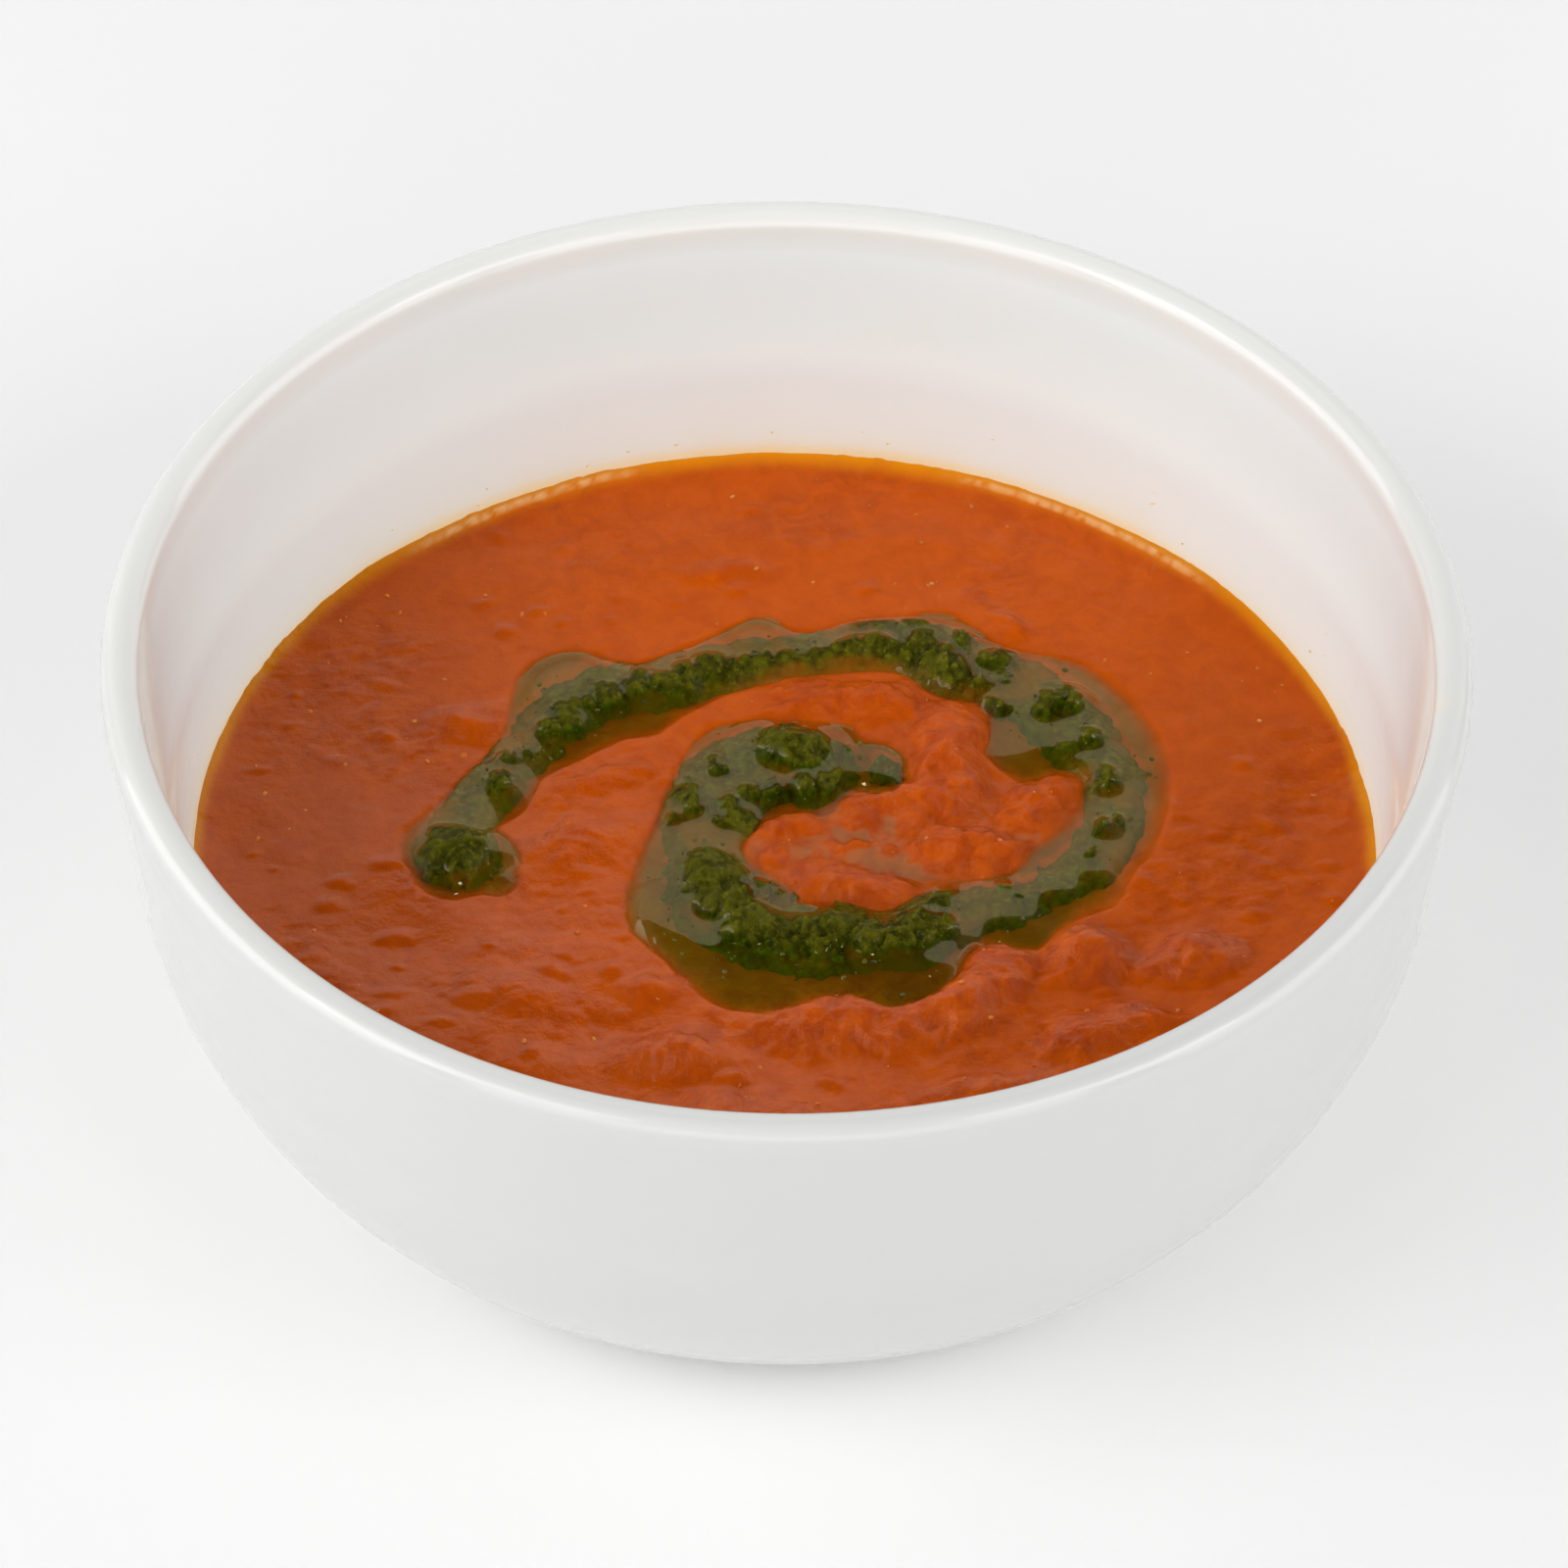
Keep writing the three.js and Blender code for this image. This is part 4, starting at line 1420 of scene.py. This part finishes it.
@dataclass
class OilSkin:
    """The basil oil: a clear green layer round the pesto that also wets the paste like a skin."""

    surface: SoupSurface
    outline: OilOutline
    film: OilOutline
    pestos: tuple[Pesto, ...]
    step: float = 0.28
    pool_height: float = 1.5
    shore: float = 4.0
    heap_height: float = 0.9
    heap_shore: float = 5.0
    level_shore: float = 0.65
    film_height: float = 0.6
    reach: float = 1.6
    level_reach: float = 0.7
    rounds: int = 400
    skin: float = 0.1
    edge_ease: float = 0.5
    tint: tuple[float, float, float] = (0.47, 0.83, 0.1)
    tint_depth: float = 1.6
    dry: float = 0.93
    crease_height: float = 0.3
    crease_width: float = 0.5
    feather: float = 1.4
    far_feather: float = 2.2
    left_feather: float = 1.4
    margin: float = 1.4
    sink: float = 2.4
    finish: OilFinish = field(default_factory=OilFinish)

    def settle(self, start: Array, target: Array, floor: Array, free: Array, reach: Array) -> Array:
        """Let the oil's surface pull itself smooth between its edge and what stands up through it.

        Args:
            start: Height at each place of a grid, kept where the oil isn't free.
            target: Height that the surface settles to far from any edge.
            floor: Least height, over what the oil wets.
            free: Whether the oil covers each place.
            reach: How far an edge or a clump pulls the surface, in mm.

        Returns:
            The settled heights, in mm.
        """
        stiff = (self.step / reach[1:-1, 1:-1]) ** 2
        height = np.where(free, np.maximum(target, floor), start)
        for _ in range(self.rounds):
            around = height[:-2, 1:-1] + height[2:, 1:-1] + height[1:-1, :-2] + height[1:-1, 2:]
            inner = np.maximum((around + stiff * target[1:-1, 1:-1]) / (4 + stiff), floor[1:-1, 1:-1])
            height[1:-1, 1:-1] = np.where(free[1:-1, 1:-1], inner, height[1:-1, 1:-1])
        return height

    def wrinkles(self, x: Array, y: Array) -> Array:
        """Height of the fine creases along the oil's far edges."""
        nearest = np.full(x.shape, 81.0)
        for line in OIL_CREASES:
            for start, end in zip(line, line[1:]):
                nearest = np.minimum(nearest, off_line_squared(x, y, start, end))
        return self.crease_height * np.exp(-nearest / self.crease_width**2)

    def soft_edge(self, x: Array, y: Array) -> Array:
        """Width in mm over which the oil fades out: wider at the right and along the swirl's left side."""
        at_left = sum(nearness(x, y, middle, reach) for middle, reach in SOFT_PLACES)
        wide = self.feather + self.far_feather * smooth_step(x, 28.0, 40.0)
        wide = wide + self.left_feather * np.minimum(at_left, 1.0)
        return wide * (1.0 - 0.6 * smooth_step(y, 29.0, 35.0) * smooth_step(-x, -34.0, -26.0))

    def build(self) -> bpy.types.Object:
        """Build the oil as a closed skin whose underside is sunk in the soup."""
        edge = np.array(self.outline.edge)
        x, y, row = grid_over(tuple(edge.min(axis=0) - 2), tuple(edge.max(axis=0) + 2), self.step)
        inside, in_film = self.outline.inside(x, y), self.film.inside(x, y)
        level, still = self.surface.bed(x, y, inside), self.surface.still(x, y)
        paste = level + np.max([pesto.rise(x, y) for pesto in self.pestos], axis=0)
        soup = self.surface.height(x, y, inside)
        # The heap nearest the diner holds the oil up, which runs down from it to a far edge.
        levels = [smooth_step(r - np.hypot(x - px, y - py), 0.0, 2.0) for px, py, r in LEVEL_OIL]
        level_share = np.max(levels, axis=0)
        heap = smooth_step(-np.abs(x - 3.0), -24.0, -15.0) * smooth_step(-y, 5.0, 14.0) * (1.0 - level_share)
        shore = (self.shore + self.heap_shore * heap) * (1.0 - level_share) + self.level_shore * level_share
        pool = (self.pool_height + self.heap_height * heap) * (1.0 - np.exp(-np.maximum(inside, 0.0) / shore))
        target = still + np.maximum(pool, np.where(in_film > 0, self.film_height, 0.0))
        floor = np.where(inside > 0, paste + self.skin, -9.0)
        shape = (len(x) // row, row)
        free = (inside > 0) | (in_film > 0)
        reach = self.reach + (self.level_reach - self.reach) * level_share
        start = still + np.minimum(inside, 0) * 0.4
        top = self.settle(*(part.reshape(shape) for part in (start, target, floor, free, reach))).ravel()
        top -= 0.25 * np.exp(-np.maximum(np.maximum(inside, in_film), 0.0) / self.edge_ease)
        top += self.wrinkles(x, y)
        thin = smooth_step(paste - top, -0.6, -0.15) * (inside > 0)
        top += thin * (0.14 * Grain(1.3, 59).at(x, y) + 0.16 * Ripple(2.4, 58, 2).at(x, y) - 0.05)
        bottom = np.minimum(level, still) - self.sink
        keep = np.maximum(inside, in_film) > -self.margin
        made, used = relief_solid("oil_film", x, y, top, bottom, keep, row)
        amount = np.clip(top - np.maximum(soup, paste), 0.0, 4.0) / self.tint_depth
        amount *= (1.0 - 0.75 * smooth_step(paste - soup, -0.3, 0.3)) * np.where(inside > 0, 1.0, 0.4)
        amount *= 1.0 + 1.2 * smooth_step(x, 22.0, 30.0) * smooth_step(-y, 6.0, 12.0)
        amount = amount[used]
        colour = np.array(self.tint)[None, :] ** (1.0 - np.exp(-1.6 * amount[:, None]))
        write_colour(made.data, "clarity", np.concatenate([colour, colour]))
        ragged = inside + 0.3 * Ripple(1.5, 71, 2).at(x, y)
        deep = top - soup
        in_hollows = smooth_step(in_film, 0.0, 2.5) * smooth_step(deep, -0.05, 0.6)
        cover = np.maximum(smooth_step(ragged, 0.0, self.soft_edge(x, y)), in_hollows)
        # The tallest clumps stand dry out of the oil.
        cover = (cover * (1.0 - self.dry * smooth_step(paste - target, 0.05, 0.5)))[used]
        write_value(made.data, "cover", np.concatenate([cover, cover]))
        finish_piece(made, self.finish.make(), Slot.PESTO)
        return made


# ---------------------------------------------------------------------------
# Small bits on the surface
# ---------------------------------------------------------------------------


# How far a bead is pushed in or out, and the height that the bits are dropped from, in mm.
DENT = 0.5
DROP_HEIGHT = 200.0

# How far out bits are tried and kept, in mm, and how many are tried for each one that is kept.
TRIED_WITHIN = 66.0
KEPT_WITHIN = 67.5
TRIES = 40


class Grouping(Enum):
    """Where the small bits of a kind lie."""

    ON_SOUP = "on the open soup"
    ON_OIL = "on the paste and the oil"
    AT_WALL = "against the wall"


@dataclass
class Sprinkle:
    """Small bits of one kind, each an uneven bead sunk a little in what it lies on.

    Attributes:
        name: The piece's name.
        grouping: Where the bits lie.
        count: How many there are.
        size: Least and greatest half-length of a bit, in mm.
        flatness: A bit's height as a share of its length.
        seed: Picks places and turns.
        finish: What the bits are made of.
        slot: The record's slot for that finish.
        extra: Listed bits: x, y and half-length, in mm.
    """

    name: str
    grouping: Grouping
    count: int
    size: tuple[float, float]
    flatness: float
    seed: int
    finish: CrumbFinish
    slot: Slot
    extra: tuple = ()

    def tree(self, material: bpy.types.Material) -> tuple[bpy.types.NodeTree, dict[str, str]]:
        """Build the nodes that put a bead on every point.

        Args:
            material: The beads' finish.

        Returns:
            The tree, and each named input's identifier.
        """
        tree = bpy.data.node_groups.new(f"{self.name}_beads", "GeometryNodeTree")
        sockets = {}
        for name, kind in (("Geometry", "Geometry"), ("Flatness", "Float"), ("Seed", "Int")):
            socket = tree.interface.new_socket(name, in_out="INPUT", socket_type=f"NodeSocket{kind}")
            sockets[name] = socket.identifier
        tree.interface.new_socket("Geometry", in_out="OUTPUT", socket_type="NodeSocketGeometry")
        given = add_node(tree, "NodeGroupInput").outputs
        bead = add_node(tree, "GeometryNodeMeshIcoSphere", {"Radius": 1.0, "Subdivisions": 2})
        turn = add_node(
            tree,
            "FunctionNodeRandomValue",
            {0: (-0.4, -0.4, 0.0), 1: (0.4, 0.4, 2 * math.pi), "Seed": given["Seed"]},
            data_type="FLOAT_VECTOR",
        )
        long = add_node(
            tree, "FunctionNodeRandomValue", {2: 0.55, 3: 1.0, "Seed": given["Seed"]}, data_type="FLOAT"
        )
        size = add_node(tree, "GeometryNodeInputNamedAttribute", {"Name": "size"}, data_type="FLOAT")
        shape = add_node(
            tree, "ShaderNodeCombineXYZ", {"X": 1.0, "Y": long.outputs[1], "Z": given["Flatness"]}
        )
        beads = add_node(
            tree,
            "GeometryNodeInstanceOnPoints",
            {
                "Points": given["Geometry"],
                "Instance": bead.outputs["Mesh"],
                "Rotation": turn.outputs[0],
                "Scale": scaled(tree, shape.outputs["Vector"], size.outputs[0]),
            },
        )
        real = add_node(tree, "GeometryNodeRealizeInstances", {"Geometry": beads.outputs["Instances"]})
        place = add_node(tree, "GeometryNodeInputPosition")
        dent = add_node(
            tree, "ShaderNodeTexNoise", {"Vector": place.outputs[0], "Scale": 1300.0, "Detail": 1.0}
        )
        middle = add_node(
            tree, "ShaderNodeVectorMath", {0: dent.outputs["Color"], 1: (0.5, 0.5, 0.5)}, operation="SUBTRACT"
        )
        push = scaled(tree, middle.outputs["Vector"], DENT * MM)
        dented = add_node(
            tree, "GeometryNodeSetPosition", {"Geometry": real.outputs["Geometry"], "Offset": push}
        )
        smooth = add_node(tree, "GeometryNodeSetShadeSmooth", {"Geometry": dented.outputs["Geometry"]})
        dressed = add_node(
            tree, "GeometryNodeSetMaterial", {"Geometry": smooth.outputs["Geometry"], "Material": material}
        )
        add_node(tree, "NodeGroupOutput", {"Geometry": dressed.outputs["Geometry"]})
        return tree, sockets

    def places(self, bowl: Bowl, surface: SoupSurface, oil: OilOutline) -> tuple[Array, Array, Array]:
        """Pick where the bits lie.

        Args:
            bowl: The bowl.
            surface: The soup's surface.
            oil: The oil's outline.

        Returns:
            X, Y and half-length of each bit, in mm.
        """
        random = np.random.default_rng(self.seed)
        many = TRIES * self.count
        if self.grouping is Grouping.AT_WALL:
            turn = random.uniform(0.0, 2 * math.pi, many)
            r = bowl.inner_radius(surface.level + 1.5 + np.abs(random.normal(0.0, 2.0, many)))
            x, y = r * np.cos(turn), r * np.sin(turn)
            keep = np.ones(len(x), bool)
        else:
            x, y = random.uniform(-TRIED_WITHIN, TRIED_WITHIN, (2, many))
            inside = oil.inside(x, y)
            on_oil = (inside > 2.0) & (Ripple(4.0, 95, 2).at(x, y) > 0.0)
            on_soup = (inside < -0.6) & (np.hypot(x, y) < KEPT_WITHIN)
            keep = on_oil if self.grouping is Grouping.ON_OIL else on_soup
        x, y = random.permutation(np.stack([x, y], axis=1)[keep])[: self.count].T
        size = self.size[0] + (self.size[1] - self.size[0]) * random.uniform(0, 1, len(x)) ** 2.5
        if self.extra:
            more = np.array(self.extra).T
            x, y, size = np.append(x, more[0]), np.append(y, more[1]), np.append(size, more[2])
        return x, y, size

    def build(self, bowl: Bowl, surface: SoupSurface, oil: OilOutline, tops: list) -> bpy.types.Object:
        """Scatter the bits on whatever lies uppermost and dress them.

        Args:
            bowl: The bowl.
            surface: The soup's surface.
            oil: The oil's outline.
            tops: Meshes that the bits may lie on.

        Returns:
            The joined bits.
        """
        x, y, size = self.places(bowl, surface, oil)
        z = np.array([highest_under(tops, px, py) for px, py in zip(x, y)])
        made = mesh_object(self.name, np.stack([x, y, z + 0.1 * size], axis=1), [])
        write_value(made.data, "size", size * MM)
        material = self.finish.make()
        tree, sockets = self.tree(material)
        scatter = made.modifiers.new("beads", "NODES")
        scatter.node_group = tree
        scatter[sockets["Flatness"]] = self.flatness
        scatter[sockets["Seed"]] = self.seed
        apply_modifiers(made)
        finish_piece(made, material, self.slot)
        return made


def mesh_lists(made: bpy.types.Object) -> tuple[list, list]:
    """An object's vertices and faces as plain lists."""
    return [v.co.copy() for v in made.data.vertices], [tuple(p.vertices) for p in made.data.polygons]


def highest_under(tops: list, x: float, y: float) -> float:
    """Height in mm of the uppermost of some surfaces at one place, or 0 where there is none."""
    start, down = Vector((x * MM, y * MM, DROP_HEIGHT * MM)), Vector((0.0, 0.0, -1.0))
    hits = [top.ray_cast(start, down) for top in tops]
    return max([hit[0].z / MM for hit in hits if hit[0] is not None], default=0.0)


# Tomato seeds and dried specks that are placed one by one: x, y and half-length, in mm.
SEEDS = (
    (-62.5, 7.8, 0.36), (-53.1, 12.9, 0.34), (-38.8, 14.3, 0.42), (-45.0, 20.4, 0.3), (-32.6, 39.6, 0.36),
    (-29.8, 39.6, 0.28), (-7.0, 62.5, 0.3), (27.2, 57.0, 0.36), (3.1, 45.5, 0.24), (17.8, 45.7, 0.3),
    (20.5, 13.6, 0.3), (24.2, -30.0, 0.36), (25.5, -1.5, 0.34), (-22.0, -33.0, 0.3), (-5.0, -41.0, 0.26),
)  # fmt: skip
WALL_SPECKS = (
    (-38.4, 59.1, 0.3), (-25.1, 66.0, 0.3), (-20.2, 67.9, 0.26), (-14.1, 69.4, 0.26), (45.1, 55.7, 0.3),
    (63.8, 31.5, 0.3), (9.2, 70.6, 0.22), (12.3, 69.8, 0.24),
)  # fmt: skip

# Every kind of small bit.
SPRINKLES = (
    Sprinkle(
        "pulp_bits", Grouping.ON_SOUP, 240, (0.1, 0.4), 0.5, 3,
        CrumbFinish("tomato_pulp", "cc5f0c", "e88a34", 0.2), Slot.SOUP,
    ),
    Sprinkle(
        "tomato_seeds", Grouping.ON_SOUP, 6, (0.22, 0.36), 0.5, 5,
        CrumbFinish("tomato_seed", "dc7428", "ec9c50", 0.4, 0.12), Slot.SOUP, SEEDS,
    ),
    Sprinkle(
        "wall_specks", Grouping.AT_WALL, 14, (0.14, 0.24), 0.35, 7,
        CrumbFinish("dried_soup", "fcd8a0", "fff0d0", 0.5, 0.2), Slot.SOUP, WALL_SPECKS,
    ),
    Sprinkle(
        "leaf_bits", Grouping.ON_OIL, 220, (0.12, 0.42), 0.4, 9,
        CrumbFinish("chopped_basil", "3a3604", "6c640e"), Slot.PESTO,
    ),
)  # fmt: skip


# ---------------------------------------------------------------------------
# The studio
# ---------------------------------------------------------------------------


@dataclass(frozen=True)
class Softbox:
    """A soft light that faces the soup.

    Attributes:
        name: The light's name.
        turn: Its direction seen from above, in degrees clockwise from +Y.
        rise: Its elevation, in degrees.
        away: Its distance, in mm.
        size: Its width and height, in mm.
        radiance: Its brightness, where 1 shows as white.
    """

    name: str
    turn: float
    rise: float
    away: float
    size: tuple[float, float]
    radiance: float

    def hang(self, aim: Vector) -> None:
        """Add the light so that it faces `aim`, in mm."""
        turn, rise = math.radians(self.turn), math.radians(self.rise)
        way = Vector((math.sin(turn) * math.cos(rise), math.cos(turn) * math.cos(rise), math.sin(rise)))
        data = bpy.data.lights.new(self.name, "AREA")
        data.shape = "RECTANGLE"
        data.size, data.size_y = self.size[0] * MM, self.size[1] * MM
        data.energy = self.radiance * math.pi * data.size * data.size_y
        made = bpy.data.objects.new(self.name, data)
        made.location = (aim + way * self.away) * MM
        made.rotation_euler = way.to_track_quat("Z", "Y").to_euler()
        bpy.context.scene.collection.objects.link(made)


SOFTBOXES = (
    Softbox("back_card", 0, 28, 1500, (3200, 1700), 0.88),
    Softbox("left_low", -94, 22, 1300, (1500, 850), 2.5),
    Softbox("right_low", 92, 20, 1300, (1500, 850), 1.9),
    Softbox("key", -126, 42, 1300, (1000, 520), 2.35),
    Softbox("fill", 128, 40, 1300, (850, 450), 2.6),
    Softbox("sparkle", 20, 86, 1300, (40, 40), 11.0),
    Softbox("front_card", 180, 16, 1600, (3000, 950), 1.6),
)
# How bright the room's walls and ceiling are, where 1 shows as white.
WALL_RADIANCE = 0.27
CEILING_RADIANCE = 0.02


@dataclass(frozen=True)
class Studio:
    """A pale table, soft light and the camera."""

    distance: float = 960.0
    elevation: float = 44.06
    roll: float = 0.593
    aside: float = 0.34
    above: float = 15.62
    lens: float = 188.86
    sensor: float = 36.0
    aim_height: float = 62.0
    soup_height: float = 31.0

    def camera(self) -> None:
        """Place the camera above the diner's side, looking down at the lip's centre."""
        tilt, roll = math.radians(self.elevation), math.radians(self.roll)
        forward = Vector((0.0, math.cos(tilt), -math.sin(tilt)))
        side, up = Vector((1.0, 0.0, 0.0)), Vector((0.0, math.sin(tilt), math.cos(tilt)))
        right = math.cos(roll) * side + math.sin(roll) * up
        over = -math.sin(roll) * side + math.cos(roll) * up
        aim = Vector((0, 0, self.aim_height))
        eye = aim - forward * self.distance - right * self.aside - over * self.above
        data = bpy.data.cameras.new("camera")
        data.lens = self.lens
        data.sensor_width = self.sensor
        data.clip_start, data.clip_end = 0.01, 50.0
        made = bpy.data.objects.new("camera", data)
        axes = Matrix((right, over, -forward)).transposed()
        made.matrix_world = Matrix.Translation(eye * MM) @ axes.to_4x4()
        bpy.context.scene.collection.objects.link(made)
        bpy.context.scene.camera = made

    def table(self) -> None:
        """Lay the pale table."""
        half = 4000.0
        corners = [(-half, -half, 0), (half, -half, 0), (half, half, 0), (-half, half, 0)]
        floor = mesh_object("table", np.array(corners, float), [(0, 1, 2, 3)], smooth=False)
        material, tree = new_material("matt_white_paper")
        close_principled(tree, {"Base Color": linear("fbfbfb"), "Roughness": 0.9})
        floor.data.materials.append(material)

    def surroundings(self) -> None:
        """Fill the room with even light from its walls, under a dark ceiling."""
        world = bpy.data.worlds.new("studio")
        world.use_nodes = True
        tree = world.node_tree
        tree.nodes.clear()
        way = add_node(tree, "ShaderNodeTexCoord").outputs["Generated"]
        height = add_node(tree, "ShaderNodeSeparateXYZ", {"Vector": way}).outputs["Z"]
        walls = remap(tree, height, (0.8, 0.88), (WALL_RADIANCE, CEILING_RADIANCE))
        light = add_node(tree, "ShaderNodeBackground", {"Strength": walls})
        add_node(tree, "ShaderNodeOutputWorld", {"Surface": light.outputs["Background"]})
        bpy.context.scene.world = world

    def build(self) -> None:
        """Set up table, lights and camera."""
        self.camera()
        self.table()
        self.surroundings()
        for box in SOFTBOXES:
            box.hang(Vector((0, 0, self.soup_height)))
        bpy.context.scene.view_settings.view_transform = "Standard"


# ---------------------------------------------------------------------------


def main() -> None:
    """Build the object piece by piece, then the studio."""
    logging.basicConfig(level=logging.INFO, format="%(relativeCreated)7.0f ms  %(message)s")
    bowl = Bowl()
    surface = SoupSurface()
    oil = OilOutline()
    inside_of_bowl = bowl.build()
    soup = Soup(bowl, surface, oil).build()
    swirl = Pesto(surface, oil, SHEET, SWIRL_CLUMPS)
    dab = Pesto(surface, oil, (), DAB_CLUMPS)
    swirl.build("pesto_paste", "pesto_swirl")
    dab.build("pesto_dab_paste", "pesto_dab")
    skin = OilSkin(surface, oil, OilOutline(FILM_EDGE), (swirl, dab)).build()
    tops = [BVHTree.FromPolygons(*mesh_lists(piece)) for piece in (inside_of_bowl, soup, skin)]
    for sprinkle in SPRINKLES:
        sprinkle.build(bowl, surface, oil, tops)
    Studio().build()


if __name__ == "__main__":
    main()
